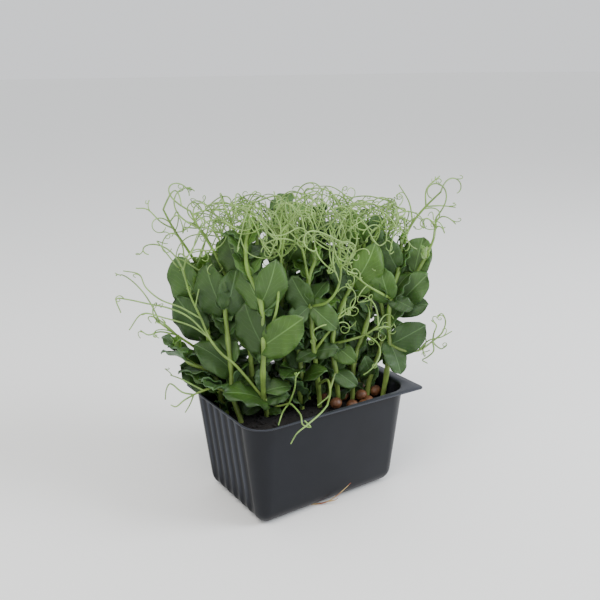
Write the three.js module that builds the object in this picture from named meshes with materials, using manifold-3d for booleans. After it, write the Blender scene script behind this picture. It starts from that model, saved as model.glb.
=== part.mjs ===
// A punnet of pea shoots: a thermoformed tray with a flanged rim, the root-bound block of growing
// medium that fills it, and the shoots of a semi-leafless pea, whose leaves are all tendrils.
// Millimetres, +Z up. The origin is the middle of the tray's underside, +X runs along the tray
// and -Y is its front.
import * as THREE from "three";
import { mergeVertices } from "three/addons/utils/BufferGeometryUtils.js";
import Module from "manifold-3d";

const wasm = await Module();
wasm.setup();

const TRAY_HEIGHT = 60;
const RIM_LENGTH = 103; // over the walls at the rim, without the flange
const RIM_WIDTH = 72.6;
const WALL_DRAFT = 6.9; // how far each wall leans in on its way down
const RIM_CORNER = 13; // the walls' corner radius at the rim
const FLOOR_CORNER = 6;
const FLOOR_ROUNDING = 7.6; // from the walls into the floor
const WALL = 1;
const FLANGE = 5.5; // at the right end and along the back
const FLANGE_FRONT = 4.5; // at the right of the front, and it narrows to the left
const FLANGE_NARROW = 0.3; // along the left end, where it is cut off at the wall
const FLANGE_CORNER = 3;
const FLANGE_THICKNESS = 0.9;
const RIBS = 6; // grooves pressed into each short end
const RIB_DEPTH = 1.5;
const RIB_FADE = 1.6; // the grooves run out in this height, just under the rim
const DRAIN_HOLE = 4;
const DRAIN_SPACING = [30, 28]; // along and across the tray

const MEDIUM_TOP = 47;
const GAP = 0.3; // between the pieces that touch
const ROOTING_DEPTH = 6;
const SEED_RADIUS = 3.6;
const SEEDS_AT_RIGHT = 8; // they lie bare at the right end, where the shoots stand thin
const SEEDS_AT_BACK = 3;

const STEM_RADIUS = [1.6, 1]; // at the foot and at the tip
const STALK_RADIUS = [0.85, 0.5];
const TENDRIL_RADIUS = [0.5, 0.32];
const BLADE_THICKNESS = 0.7;
const BLADE_ROWS = 3;
// A stipule's outline from its root to its tip: the share of its length, and how far its inner and
// outer edges are from the midrib, as shares of its length. The outer edge starts behind the root,
// in the lobe that clasps the stem.
const BLADE_OUTLINE = [
  [0, 0.02, 0.08],
  [0.22, 0.24, 0.35],
  [0.62, 0.24, 0.28],
  [1, 0, 0],
];
const LOBE_SETBACK = 0.04;
const BLADE_ARCH = 0.08; // the height of the midrib's arch, as a share of its length
const BLADE_CUP = 0.22; // how steeply the two halves rise from the midrib

const OTHER_SHOOTS = 8;
const OTHER_HEIGHT = [84, 104]; // above the foot
const YOUNG_SHOOTS = 3; // short ones, in the gaps between the tall ones
const YOUNG_HEIGHT = [38, 60];
const CROWN_TOP = 176; // what grows by rule stays under this
const STEM_STEPS = 5;
const STEM_SIDES = 4;
const CLEARANCE = 1.9; // kept between the sample points of two shoots, beyond their radii
const SAMPLE_STEP = 1.5;
const CELL = 5;
const TRIES = 14;
const VIEW_TURN = THREE.MathUtils.degToRad(-33.344);

// Every draw comes from one seeded sequence, so that the tray grows the same each time.
let state = 20;
function draw(low, high) {
  state = (state * 1664525 + 1013904223) % 4294967296;
  return low + ((high - low) * state) / 4294967296;
}

// The shoots that stand out are laid by hand, in a frame turned to face the tray's front corner:
// [across to the right, out towards the viewer, up from the table].
function turned([across, toward, up]) {
  return new THREE.Vector3(
    across * Math.cos(VIEW_TURN) + toward * Math.sin(VIEW_TURN),
    across * Math.sin(VIEW_TURN) - toward * Math.cos(VIEW_TURN),
    up,
  );
}

// A blade is [which stem point, tip, hand, the way its upper face looks]; the hand says on which side
// its clasping lobe is. A stalk is [which stem point, its points, the tendrils drawn at its end, and
// the tendrils laid by hand, each as which stalk point and its points].
const MAIN_SHOOTS = [
  {
    stem: [
      [-19, 10, 48], [-20, 14, 59], [-20, 18, 76], [-19, 20, 93], [-20, 21, 117], [-26, 20, 133],
      [-27, 18, 145], [-25, 16, 155],
    ],
    blades: [
      [3, [2, 25, 109], 1, [-0.1, 1, 0.2]],
      [3, [-29, 17, 115], -1, [-0.3, 1, 0.1]],
      [4, [-11, 25, 139], 1, [0.3, 1, 0.1]],
      [4, [-29, 15, 137], -1, [-0.6, 0.8, 0]],
      [1, [-41, 26, 68], -1, [-0.1, 0.5, 1]],
      [1, [-31, 20, 53], 1, [0.1, 1, 0.6]],
      [1, [-6, 16, 62], 1, [0, 0.8, 1]],
    ],
    stalks: [
      [1, [[-34, 16, 79], [-42, 17, 87], [-48, 17, 96], [-52, 15, 106], [-58, 10, 118], [-61, 8, 131]], 1, [
        [3, [[-58, 16, 107], [-68, 18, 113], [-79, 22, 117], [-87, 25, 120], [-93, 27, 121], [-91, 28, 114]]],
        [3, [[-57, 18, 103], [-70, 22, 109], [-81, 24, 112], [-88, 26, 104]]],
        [4, [[-62, 17, 113], [-72, 19, 118], [-79, 20, 125], [-82, 20, 132], [-90, 20, 134]]],
      ]],
      [3, [[-12, 23, 112], [-10, 21, 131], [-8, 18, 146], [-7, 18, 154]], 2, []],
      [1, [[-13, 19, 57], [-6, 25, 61]], 0, [
        [2, [[-3, 28, 71], [-2, 30, 81]]],
        [2, [[-9, 40, 63.5], [-11, 54, 63]]],
        [2, [[-4, 36, 65], [0, 49, 66], [1, 54, 63], [5, 55, 62], [2, 56, 66]]],
      ]],
    ],
  },
  {
    stem: [
      [-33, 17, 48], [-37, 14, 61], [-38, 10, 76], [-39, 8, 92], [-40, 6, 108], [-39, 3, 125], [-38, 0, 143],
    ],
    blades: [
      [1, [-28, 6, 69], 1, [0, 0.6, 1]],
      [4, [-50, 8, 133], -1, [-0.3, 1, 0.3]],
      [4, [-33, 9, 131], 1, [0.2, 1, 0.3]],
      [2, [-56, 12, 91], -1, [0, 0.7, 0.8]],
    ],
    stalks: [
      [1, [[-46, 16, 67], [-52, 20, 67], [-57, 23, 66]], 0, [
        [2, [[-58, 19, 70], [-64, 18, 73], [-70, 17, 75]]],
        [3, [[-63, 24, 68], [-69, 22, 72], [-72, 20, 68], [-73, 20, 62]]],
        [3, [[-62, 26, 64], [-66, 27, 61], [-69, 27, 62]]],
        [3, [[-59, 23, 61], [-62, 24, 56]]],
      ]],
      [5, [[-45, 4, 140], [-52, 6, 153], [-56, 6, 162]], 2, []],
    ],
  },
  {
    stem: [[-45, -2, 48], [-48, -1, 62], [-50, 0, 77], [-51, -1, 93], [-53, -4, 111], [-55, -8, 128]],
    blades: [
      [1, [-66, 6, 76], -1, [0, 0.8, 0.7]],
      [3, [-67, 0, 114], -1, [-0.2, 1, 0.2]],
      [4, [-67, -2, 135], -1, [-0.4, 1, 0.3]],
      [4, [-49, -3, 137], 1, [0.3, 1, 0.1]],
    ],
    stalks: [
      [2, [[-58, 6, 87], [-66, 12, 96], [-74, 15, 104]], 2, [
        [2, [[-74, 15, 99], [-80, 17, 98], [-84, 18, 101]]],
      ]],
      [5, [[-60, -2, 140], [-66, 2, 152], [-70, 6, 163]], 1, [
        [2, [[-72, 4, 156], [-78, 6, 163], [-84, 7, 164]]],
      ]],
    ],
  },
  {
    stem: [[-28, 1, 48], [-27, 3, 70], [-28, 5, 92], [-29, 6, 112], [-30, 6, 130], [-29, 5, 148]],
    blades: [
      [4, [-38, 10, 149], -1, [-0.3, 1, 0.3]],
      [1, [-16, 2, 74], 1, [0.2, 1, 0.5]],
    ],
    stalks: [
      [4, [[-33, 8, 150], [-37, 8, 162]], 1, []],
      [5, [[-27, 7, 158], [-23, 7, 166]], 1, []],
    ],
  },
  {
    stem: [[11, -1, 48], [10, 2, 62], [8, 5, 83], [7, 6, 95], [6, 8, 110], [5, 8, 124], [9, 7, 136]],
    blades: [
      [2, [-2, 11, 80], -1, [-0.2, 1, 0.9]],
      [2, [21, 8, 86], 1, [0.1, 1, 0.9]],
      [4, [-4, 12, 128], -1, [-0.2, 1, 0.2]],
      [4, [20, 14, 99], -1, [-0.1, 1, 0.3]],
      [4, [-6, 12, 101], 1, [-0.2, 1, 0.1]],
    ],
    stalks: [
      [4, [[14, 12, 113], [20, 14, 121], [22, 14, 133], [20, 12, 146]], 2, []],
      [2, [[13, 9, 92], [19, 11, 101], [22, 12, 107]], 0, [
        [2, [[12, 14, 101], [7, 15, 98], [9, 15, 93]]],
      ]],
      [1, [[15, 10, 68], [16, 22, 66], [14, 36, 65]], 0, [
        [3, [[10, 48, 66], [3, 59, 65], [-2, 58, 60], [-5, 57, 54]]],
      ]],
      [5, [[2, 12, 142], [-3, 13, 154]], 2, []],
    ],
  },
  {
    stem: [[22, -4, 48], [20, -2, 68], [18, -1, 85], [22, -3, 103], [29, -5, 118], [33, -6, 132]],
    blades: [
      [2, [31, 4, 76], 1, [0.1, 1, 0.4]],
      [1, [32, 3, 61], 1, [0, 1, 0.6]],
      [4, [21, -2, 138], -1, [-0.2, 1, 0.2]],
      [4, [42, -2, 141], 1, [0.3, 1, 0.2]],
    ],
    stalks: [
      [2, [[26, 2, 88], [36, 4, 92], [43, 4, 97]], 2, []],
      [1, [[17, 6, 62], [16, 13, 60.5]], 0, [
        [2, [[14, 23, 63], [9, 32, 63]]],
      ]],
      [5, [[31, -2, 146], [27, 0, 157]], 2, []],
    ],
  },
  {
    stem: [[30, -7, 48], [31, -8, 72], [37, -10, 90], [40, -12, 104], [37, -12, 122], [36, -14, 140]],
    blades: [
      [3, [34, -3, 108], -1, [0.2, 1, 0.3]],
      [5, [30, -10, 157], -1, [-0.2, 1, 0.2]],
      [5, [45, -13, 155], 1, [0.3, 1, 0.2]],
    ],
    stalks: [
      [4, [[40, -11, 138], [44, -10, 150]], 2, []],
    ],
  },
  {
    stem: [[39, -12, 48], [41, -12, 62], [47, -14, 78], [48, -15, 95], [45, -17, 112], [46, -20, 128]],
    blades: [
      [1, [37, -3, 75], -1, [-0.1, 1, 0.5]],
      [4, [38, -15, 132], -1, [-0.3, 1, 0.2]],
      [5, [43, -24, 147], -1, [0.2, 1, 0.1]],
    ],
    stalks: [
      [5, [[50, -22, 140], [53, -23, 152]], 2, []],
    ],
  },
  {
    stem: [
      [48, -10, 48], [50, -10, 64], [51, -8, 82], [50, -7, 96], [51, -8, 109], [56, -15, 124], [58, -20, 138],
    ],
    blades: [
      [2, [70, 0, 96], 1, [0, 1, 0.3]],
      [2, [57, 2, 68], 1, [0.3, 1, 0.1]],
      [4, [63, -4, 104], 1, [0.2, 1, 0.5]],
      [4, [44, -3, 129], -1, [-0.3, 1, 0.1]],
      [5, [46, -14, 143], -1, [-0.2, 1, 0.1]],
    ],
    stalks: [
      [2, [[58, -3, 80], [67, -5, 79], [75, -6, 84]], 0, [
        [3, [[80, -6, 89], [82, -7, 95], [80, -7, 100], [77, -6, 99]]],
        [3, [[75, -3, 90], [76, -2, 95], [73, -2, 98]]],
        [2, [[72, -2, 86], [79, -2, 88], [85, -3, 91]]],
        [3, [[78, -9, 80], [81, -10, 78], [83, -9, 80]]],
        [3, [[76, -7, 78], [73, -8, 74], [70, -8, 72], [73, -8, 70]]],
      ]],
      [4, [[46, -3, 113], [37, 0, 119], [29, 1, 126]], 1, []],
      [6, [[64, -22, 149], [71, -22, 158], [79, -22, 166]], 1, [
        [1, [[62, -24, 160], [56, -24, 170]]],
        [2, [[71, -21, 168], [78, -21, 175]]],
        [2, [[80, -24, 158], [88, -24, 157]]],
      ]],
    ],
  },
  {
    stem: [[34, -26, 48], [38, -26, 65], [47, -24, 85], [56, -21, 101], [64, -18, 116], [71, -17, 130]],
    blades: [
      [3, [71, -12, 121], -1, [-0.3, 1, 0.2]],
      [3, [73, -12, 104], 1, [0.1, 1, 0.4]],
      [4, [71, -27, 140], -1, [-0.3, 1, 0.2]],
    ],
    stalks: [
      [5, [[75, -16, 141], [76, -16, 153]], 2, []],
    ],
  },
  {
    stem: [[-8, -3, 48], [-7, -2, 62], [-9, -2, 80], [-10, -2, 98], [-9, -2, 115], [-7, -2, 132]],
    blades: [
      [1, [-16, 5, 62], -1, [-0.1, 1, 0.8]],
      [3, [-19, 4, 116], -1, [-0.3, 1, 0.3]],
      [5, [-15, 4, 148], -1, [-0.3, 1, 0.2]],
      [5, [3, 2, 151], 1, [0.3, 1, 0.2]],
    ],
    stalks: [
      [4, [[-9, 3, 132], [-13, 6, 150]], 2, []],
    ],
  },
];

// A tendril leaves its stalk straight and winds ever tighter about an axis across its heading.
function windingLine(start, heading, axis, length, turn, steps) {
  const FINE_STEPS = 25;
  const aside = axis.clone().cross(heading);
  const at = start.clone();
  const line = [start.clone()];
  for (let i = 1; i <= FINE_STEPS; i++) {
    const angle = turn * ((i - 0.5) / FINE_STEPS) ** 2;
    at.addScaledVector(heading, (Math.cos(angle) * length) / FINE_STEPS);
    at.addScaledVector(aside, (Math.sin(angle) * length) / FINE_STEPS);
    at.addScaledVector(axis, (0.25 * length) / FINE_STEPS);
    if (i % (FINE_STEPS / steps) === 0) line.push(at.clone());
  }
  return line;
}

// A unit direction from an azimuth about Z and an angle above the horizontal.
function direction(azimuth, lift) {
  return new THREE.Vector3(
    Math.cos(azimuth) * Math.cos(lift),
    Math.sin(azimuth) * Math.cos(lift),
    Math.sin(lift),
  );
}

// A blade starts just inside the stem's skin, on the side that its tip lies on.
function bladeRoot(joint, tip) {
  const outward = tip.clone().sub(joint).setZ(0).normalize();
  return joint.clone().addScaledVector(outward, STEM_RADIUS[1] * 0.8);
}

// Where a stipule's surface is, from the share of its length and the distance from its midrib.
function bladeFrame(blade) {
  const along = blade.tip.clone().sub(blade.root);
  const length = along.length();
  along.normalize();
  const normal = blade.facing.clone().addScaledVector(along, -blade.facing.dot(along)).normalize();
  const side = along.clone().cross(normal);
  return { along, length, normal, side };
}

function onBlade(blade, frame, share, across) {
  const arch = BLADE_ARCH * 4 * Math.max(share, 0) * (1 - share);
  const rise = (arch + BLADE_CUP * Math.abs(across)) * frame.length;
  return blade.root
    .clone()
    .addScaledVector(frame.along, share * frame.length)
    .addScaledVector(frame.side, across * frame.length * blade.hand)
    .addScaledVector(frame.normal, rise);
}

function edgesAt(share) {
  const next = Math.max(1, BLADE_OUTLINE.findIndex(([at]) => at >= share));
  const [from, innerFrom, outerFrom] = BLADE_OUTLINE[next - 1];
  const [to, innerTo, outerTo] = BLADE_OUTLINE[next];
  const mix = (share - from) / (to - from);
  return [innerFrom + (innerTo - innerFrom) * mix, outerFrom + (outerTo - outerFrom) * mix];
}

// Points on what has been placed, in cells, so that a new piece can be held clear of other shoots.
const placed = new Map();

function cellOf(point) {
  return [point.x, point.y, point.z].map((value) => Math.floor(value / CELL));
}

function place(samples, shoot) {
  for (const { point, radius } of samples) {
    const key = cellOf(point).join();
    if (!placed.has(key)) placed.set(key, []);
    placed.get(key).push({ point, radius, shoot });
  }
}

function isClear(samples, shoot) {
  for (const { point, radius } of samples) {
    const [i, j, k] = cellOf(point);
    for (let n = 0; n < 27; n++) {
      const key = [i + (n % 3) - 1, j + (Math.floor(n / 3) % 3) - 1, k + Math.floor(n / 9) - 1].join();
      for (const other of placed.get(key) ?? []) {
        const reach = radius + other.radius + CLEARANCE;
        if (other.shoot !== shoot && point.distanceToSquared(other.point) < reach * reach) return false;
      }
    }
  }
  return true;
}

function lineSamples(line, radius) {
  const samples = [];
  for (let i = 1; i < line.length; i++) {
    const count = Math.ceil(line[i].distanceTo(line[i - 1]) / SAMPLE_STEP);
    for (let n = 0; n < count; n++) {
      samples.push({ point: line[i - 1].clone().lerp(line[i], n / count), radius });
    }
  }
  samples.push({ point: line[line.length - 1], radius });
  return samples;
}

function bladeSamples(blade) {
  const frame = bladeFrame(blade);
  const samples = [];
  const rows = Math.ceil(frame.length / SAMPLE_STEP);
  for (let row = 0; row <= rows; row++) {
    const [inner, outer] = edgesAt(row / rows);
    const columns = Math.ceil(((inner + outer) * frame.length) / SAMPLE_STEP);
    for (let column = 0; column <= columns; column++) {
      const across = columns ? -inner + ((inner + outer) * column) / columns : 0;
      samples.push({ point: onBlade(blade, frame, row / rows, across), radius: BLADE_THICKNESS / 2 });
    }
  }
  return samples;
}

// What grows by rule stays under the crown's top and, low down, over the medium and inside the rim.
function isInReach(samples) {
  return samples.every(({ point, radius }) => {
    if (point.z > TRAY_HEIGHT + 3) return point.z < CROWN_TOP;
    const inward = 4 + radius;
    return (
      point.z > MEDIUM_TOP &&
      Math.abs(point.x) < RIM_LENGTH / 2 - inward &&
      Math.abs(point.y) < RIM_WIDTH / 2 - inward
    );
  });
}

// Draws a piece until one is clear of the other shoots. Null if none of the tries is.
function firstClear(drawPiece, samplesOf, shoot) {
  for (let n = 0; n < TRIES; n++) {
    const piece = drawPiece(n);
    const samples = samplesOf(piece);
    if (isInReach(samples) && isClear(samples, shoot)) {
      place(samples, shoot);
      return piece;
    }
  }
  return null;
}

function addTendril(shoot, line, at) {
  const heading = line[at].clone().sub(line[at - 1]).normalize();
  const tendril = firstClear(
    () => {
      const way = heading.clone().add(direction(draw(0, 2 * Math.PI), draw(-0.6, 0.9)).multiplyScalar(0.8));
      way.normalize();
      const axis = way.clone().cross(direction(draw(0, 2 * Math.PI), draw(-1.2, 1.2))).normalize();
      return windingLine(line[at], way, axis, draw(24, 42), draw(2.2, 5), 5);
    },
    (candidate) => lineSamples(candidate, TENDRIL_RADIUS[0]),
    shoot,
  );
  if (tendril) shoot.tendrils.push(tendril);
}

function growMainShoot(plan) {
  const stem = plan.stem.map(turned);
  const shoot = { stem, blades: [], stalks: [], tendrils: [] };
  place(lineSamples(stem, STEM_RADIUS[0]), shoot);
  for (const [joint, tip, hand, facing] of plan.blades) {
    const root = bladeRoot(stem[joint], turned(tip));
    const blade = { root, tip: turned(tip), hand, facing: turned(facing) };
    place(bladeSamples(blade), shoot);
    shoot.blades.push(blade);
  }
  for (const [joint, points, count, strands] of plan.stalks) {
    const line = [stem[joint], ...points.map(turned)];
    shoot.stalks.push({ line, count });
    place(lineSamples(line, STALK_RADIUS[0]), shoot);
    for (const [from, strand] of strands) {
      const tendril = [line[from], ...strand.map(turned)];
      shoot.tendrils.push(tendril);
      place(lineSamples(tendril, TENDRIL_RADIUS[0]), shoot);
    }
  }
  return shoot;
}

// The other shoots fill the tray: each foot is the one of a few drawn places that is furthest from
// the feet already set, and its stem leans out from the middle.
function drawFoot(feet) {
  let best = null;
  let bestDistance = 0;
  for (let n = 0; n < TRIES; n++) {
    const foot = new THREE.Vector3(draw(-42, 42), draw(-2, 27), MEDIUM_TOP + 1);
    const distance = Math.min(...feet.map((other) => other.distanceTo(foot)));
    if (distance > bestDistance) {
      best = foot;
      bestDistance = distance;
    }
  }
  return best;
}

function drawStem(foot, [low, high]) {
  const height = draw(low, high);
  const lean = new THREE.Vector3((foot.x / 42) * draw(8, 24), (foot.y / 27) * draw(6, 22), 0);
  const points = [foot];
  for (let n = 1; n <= STEM_STEPS; n++) {
    const share = n / STEM_STEPS;
    points.push(
      new THREE.Vector3(draw(-4, 4), draw(-4, 4), height * share)
        .addScaledVector(lean, share ** 1.5)
        .add(foot),
    );
  }
  return points;
}

// A pair of stipules at a joint, opposite each other, their upper faces towards the stem.
function addPair(shoot, joint, azimuth, low, high) {
  for (const hand of [1, -1]) {
    const blade = firstClear(
      (n) => {
        const way = azimuth + (hand * Math.PI) / 2 + draw(-0.6, 0.6);
        const length = draw(low, high) * (1 - n / 30);
        const tip = shoot.stem[joint].clone().addScaledVector(direction(way, draw(0.2, 1.1)), length);
        const facing = direction(way + Math.PI + draw(-0.7, 0.7), draw(0.5, 1.2));
        return { root: bladeRoot(shoot.stem[joint], tip), tip, hand, facing };
      },
      bladeSamples,
      shoot,
    );
    if (blade) shoot.blades.push(blade);
  }
}

function addStalk(shoot, joint, azimuth, count) {
  const root = shoot.stem[joint];
  const line = firstClear(
    () => {
      const outward = direction(azimuth + draw(-0.8, 0.8), draw(0.5, 1));
      const tip = root.clone().addScaledVector(outward, draw(26, 40));
      const bow = root.clone().lerp(tip, 0.5);
      bow.z -= draw(1, 5);
      return [root, bow, tip];
    },
    (candidate) => lineSamples(candidate, STALK_RADIUS[0]),
    shoot,
  );
  if (line) shoot.stalks.push({ line, count });
}

// So many more stems, each turned the way that it leans.
function addStems(count, height, feet) {
  const added = [];
  for (let n = 0; n < 3 * count && added.length < count; n++) {
    const foot = drawFoot(feet);
    const shoot = { blades: [], stalks: [], tendrils: [] };
    shoot.stem = firstClear(() => drawStem(foot, height), (line) => lineSamples(line, STEM_RADIUS[0]), shoot);
    if (shoot.stem) {
      const top = shoot.stem[STEM_STEPS];
      shoot.azimuth = Math.atan2(top.y, top.x) + draw(-0.5, 0.5);
      feet.push(foot);
      added.push(shoot);
    }
  }
  return added;
}

function growShoots() {
  const shoots = MAIN_SHOOTS.map(growMainShoot);
  for (const shoot of shoots) addTendrils(shoot);
  const feet = shoots.map((shoot) => shoot.stem[0]);
  const others = addStems(OTHER_SHOOTS, OTHER_HEIGHT, feet);
  for (const shoot of others) {
    addPair(shoot, 2, shoot.azimuth, 18, 26);
    addPair(shoot, 3, shoot.azimuth + 1.4, 18, 26);
    addPair(shoot, 4, shoot.azimuth + 0.6, 18, 26);
    addPair(shoot, 5, shoot.azimuth, 14, 20);
  }
  for (const shoot of others) {
    addStalk(shoot, 3, shoot.azimuth, 1);
    addStalk(shoot, 4, shoot.azimuth + 0.8, 1);
  }
  for (const shoot of others) addTendrils(shoot);
  const young = addStems(YOUNG_SHOOTS, YOUNG_HEIGHT, feet);
  for (const shoot of young) {
    addPair(shoot, 3, shoot.azimuth, 12, 18);
    addPair(shoot, 5, shoot.azimuth + 0.8, 14, 20);
  }
  return [...shoots, ...others, ...young];
}

function addTendrils(shoot) {
  for (const { line, count } of shoot.stalks) {
    for (let n = 0; n < count; n++) addTendril(shoot, line, line.length - 1 - (n % 2));
  }
}

// Geometry to solid: only places are kept, shared corners are merged, and faces with no area go.
function solidOf(geometry) {
  geometry.deleteAttribute("normal");
  geometry.deleteAttribute("uv");
  const merged = mergeVertices(geometry, 1e-4);
  const corners = merged.index.array;
  const triangles = [];
  for (let i = 0; i < corners.length; i += 3) {
    const [a, b, c] = corners.subarray(i, i + 3);
    if (a !== b && b !== c && c !== a) triangles.push(a, b, c);
  }
  return new wasm.Manifold(
    new wasm.Mesh({
      numProp: 3,
      vertProperties: merged.attributes.position.array,
      triVerts: new Uint32Array(triangles),
    }),
  );
}

// The union's one outer body, without any scrap or any hollow that joining sealed.
function joined(solids) {
  const union = solids.reduce((sum, solid) => sum.add(solid));
  return union.decompose().reduce((most, body) => (body.volume() > most.volume() ? body : most));
}

function meshOf(name, solid, material) {
  const { vertProperties, triVerts } = solid.getMesh();
  const geometry = new THREE.BufferGeometry();
  geometry.setAttribute("position", new THREE.BufferAttribute(vertProperties, 3));
  geometry.setIndex(new THREE.BufferAttribute(triVerts, 1));
  geometry.computeVertexNormals();
  const mesh = new THREE.Mesh(geometry, material);
  mesh.name = name;
  return mesh;
}

// A closed tapering tube: a cylinder whose rings are carried along the line without twisting.
function tube(line, [startRadius, endRadius], sides) {
  const steps = line.length - 1;
  const geometry = new THREE.CylinderGeometry(endRadius, startRadius, steps, sides, steps);
  const frames = [];
  let lastSide = new THREE.Vector3(0.6, 0.8, 0.1);
  line.forEach((point, n) => {
    const before = line[Math.max(n - 1, 0)];
    const after = line[Math.min(n + 1, steps)];
    const tangent = after.clone().sub(before).normalize();
    const side = lastSide.clone().addScaledVector(tangent, -lastSide.dot(tangent)).normalize();
    frames.push({ side, up: side.clone().cross(tangent) });
    lastSide = side;
  });
  const position = geometry.getAttribute("position");
  const corner = new THREE.Vector3();
  for (let i = 0; i < position.count; i++) {
    corner.fromBufferAttribute(position, i);
    const n = Math.round(corner.y + steps / 2);
    const { side, up } = frames[n];
    const at = line[n].clone().addScaledVector(side, corner.x).addScaledVector(up, corner.z);
    position.setXYZ(i, at.x, at.y, at.z);
  }
  return solidOf(geometry);
}

// A stipule: a flat box of a few rows, two halves wide, whose corners are carried to the outline.
function bladeSolid(blade) {
  const geometry = new THREE.BoxGeometry(2, 1, 1, 2, BLADE_ROWS, 1);
  const frame = bladeFrame(blade);
  const position = geometry.getAttribute("position");
  for (let i = 0; i < position.count; i++) {
    const half = Math.round(position.getX(i)) * blade.hand;
    const row = Math.round((position.getY(i) + 0.5) * BLADE_ROWS);
    const [share, inner, outer] = BLADE_OUTLINE[row];
    const lobe = row === 0 && half > 0 ? -LOBE_SETBACK : 0;
    const at = onBlade(blade, frame, share + lobe, half > 0 ? outer : half * inner);
    at.addScaledVector(frame.normal, position.getZ(i) * BLADE_THICKNESS);
    position.setXYZ(i, at.x, at.y, at.z);
  }
  return solidOf(geometry);
}

// The stem goes down into its hole in the medium, and all that grows from it starts inside it.
function shootSolid(shoot) {
  const foot = shoot.stem[0].clone();
  foot.z = MEDIUM_TOP - ROOTING_DEPTH;
  return joined([
    tube([foot, ...shoot.stem], STEM_RADIUS, STEM_SIDES),
    ...shoot.blades.map(bladeSolid),
    ...shoot.stalks.map(({ line }) => tube(line, STALK_RADIUS, 3)),
    ...shoot.tendrils.map((line) => tube(line, TENDRIL_RADIUS, 3)),
  ]);
}

// Four corners of a ring round the tray, starting at the back right and going against the clock,
// each [x, y, radius].
function wallCorners(z, inset) {
  const lean = WALL_DRAFT * (1 - z / TRAY_HEIGHT) + inset;
  const x = RIM_LENGTH / 2 - lean;
  const y = RIM_WIDTH / 2 - lean;
  const radius = FLOOR_CORNER + (RIM_CORNER - FLOOR_CORNER) * (z / TRAY_HEIGHT);
  return [[x, y], [-x, y], [-x, -y], [x, -y]].map((place) => [...place, Math.max(radius - inset, 2)]);
}

function flangeCorners() {
  const x = RIM_LENGTH / 2;
  const y = RIM_WIDTH / 2;
  return [
    [x + FLANGE, y + FLANGE, FLANGE_CORNER],
    [-x - FLANGE_NARROW, y + FLANGE, FLANGE_CORNER],
    [-x - FLANGE_NARROW, -y - FLANGE_NARROW, RIM_CORNER + FLANGE_NARROW],
    [x + FLANGE, -y - FLANGE_FRONT, FLANGE_CORNER],
  ];
}

// The pressed grooves run from the floor's rounding to just under the rim.
function ribDepth(z) {
  const rising = THREE.MathUtils.smoothstep(z, 0, FLOOR_ROUNDING);
  const fading = THREE.MathUtils.smoothstep(z, TRAY_HEIGHT - 2 * RIB_FADE, TRAY_HEIGHT - RIB_FADE / 2);
  return RIB_DEPTH * rising * (1 - fading);
}

// One ring of points at a height: an arc at each corner, and a ridge and groove in turn along the
// two short ends.
function ring(z, corners, depth) {
  const ARC_STEPS = 3;
  const arcs = corners.map(([x, y, radius], quarter) =>
    Array.from({ length: ARC_STEPS + 1 }, (_, n) => {
      const angle = ((quarter + n / ARC_STEPS) * Math.PI) / 2;
      return new THREE.Vector3(
        x - Math.sign(x) * radius + radius * Math.cos(angle),
        y - Math.sign(y) * radius + radius * Math.sin(angle),
        z,
      );
    }),
  );
  const points = [];
  arcs.forEach((arc, quarter) => {
    points.push(...arc);
    if (quarter % 2 === 0) return;
    const from = arc[ARC_STEPS];
    const to = arcs[(quarter + 1) % 4][0];
    for (let n = 1; n < 2 * RIBS; n++) {
      const point = from.clone().lerp(to, n / (2 * RIBS));
      if (n % 2) point.x -= Math.sign(point.x) * depth;
      points.push(point);
    }
  });
  return points;
}

// Rings of equal count skinned into one closed body, with its first and last rings filled. Going up
// or down, each four-sided face is split the same way, so the medium's skin runs along the tray's.
function skin(rings) {
  const count = rings[0].length;
  const triangles = [];
  for (let k = 1; k < rings.length; k++) {
    const goesDown = rings[k][0].z < rings[k - 1][0].z;
    for (let i = 0; i < count; i++) {
      const a = (k - 1) * count + i;
      const b = (k - 1) * count + ((i + 1) % count);
      if (goesDown) triangles.push(a, b, a + count, b, b + count, a + count);
      else triangles.push(a, b, b + count, a, b + count, a + count);
    }
  }
  const last = (rings.length - 1) * count;
  for (const [a, b, c] of THREE.ShapeUtils.triangulateShape(rings[0], [])) triangles.push(a, c, b);
  for (const face of THREE.ShapeUtils.triangulateShape(rings[rings.length - 1], [])) {
    triangles.push(...face.map((corner) => last + corner));
  }
  const geometry = new THREE.BufferGeometry().setFromPoints(rings.flat());
  geometry.setIndex(triangles);
  return solidOf(geometry);
}

// Rings from a flat floor up through its rounding, at an inset from the tray's outside.
function roundedFloor(inset) {
  const ROUNDING_STEPS = 3;
  const radius = FLOOR_ROUNDING - inset;
  return Array.from({ length: ROUNDING_STEPS + 1 }, (_, n) => {
    const angle = ((n / ROUNDING_STEPS) * Math.PI) / 2;
    const z = inset + radius * (1 - Math.cos(angle));
    return ring(z, wallCorners(z, inset + radius * (1 - Math.sin(angle))), ribDepth(z - inset));
  });
}

function wallRings(heights, inset) {
  return heights.map((z) => ring(z, wallCorners(z, inset), ribDepth(z)));
}

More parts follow.
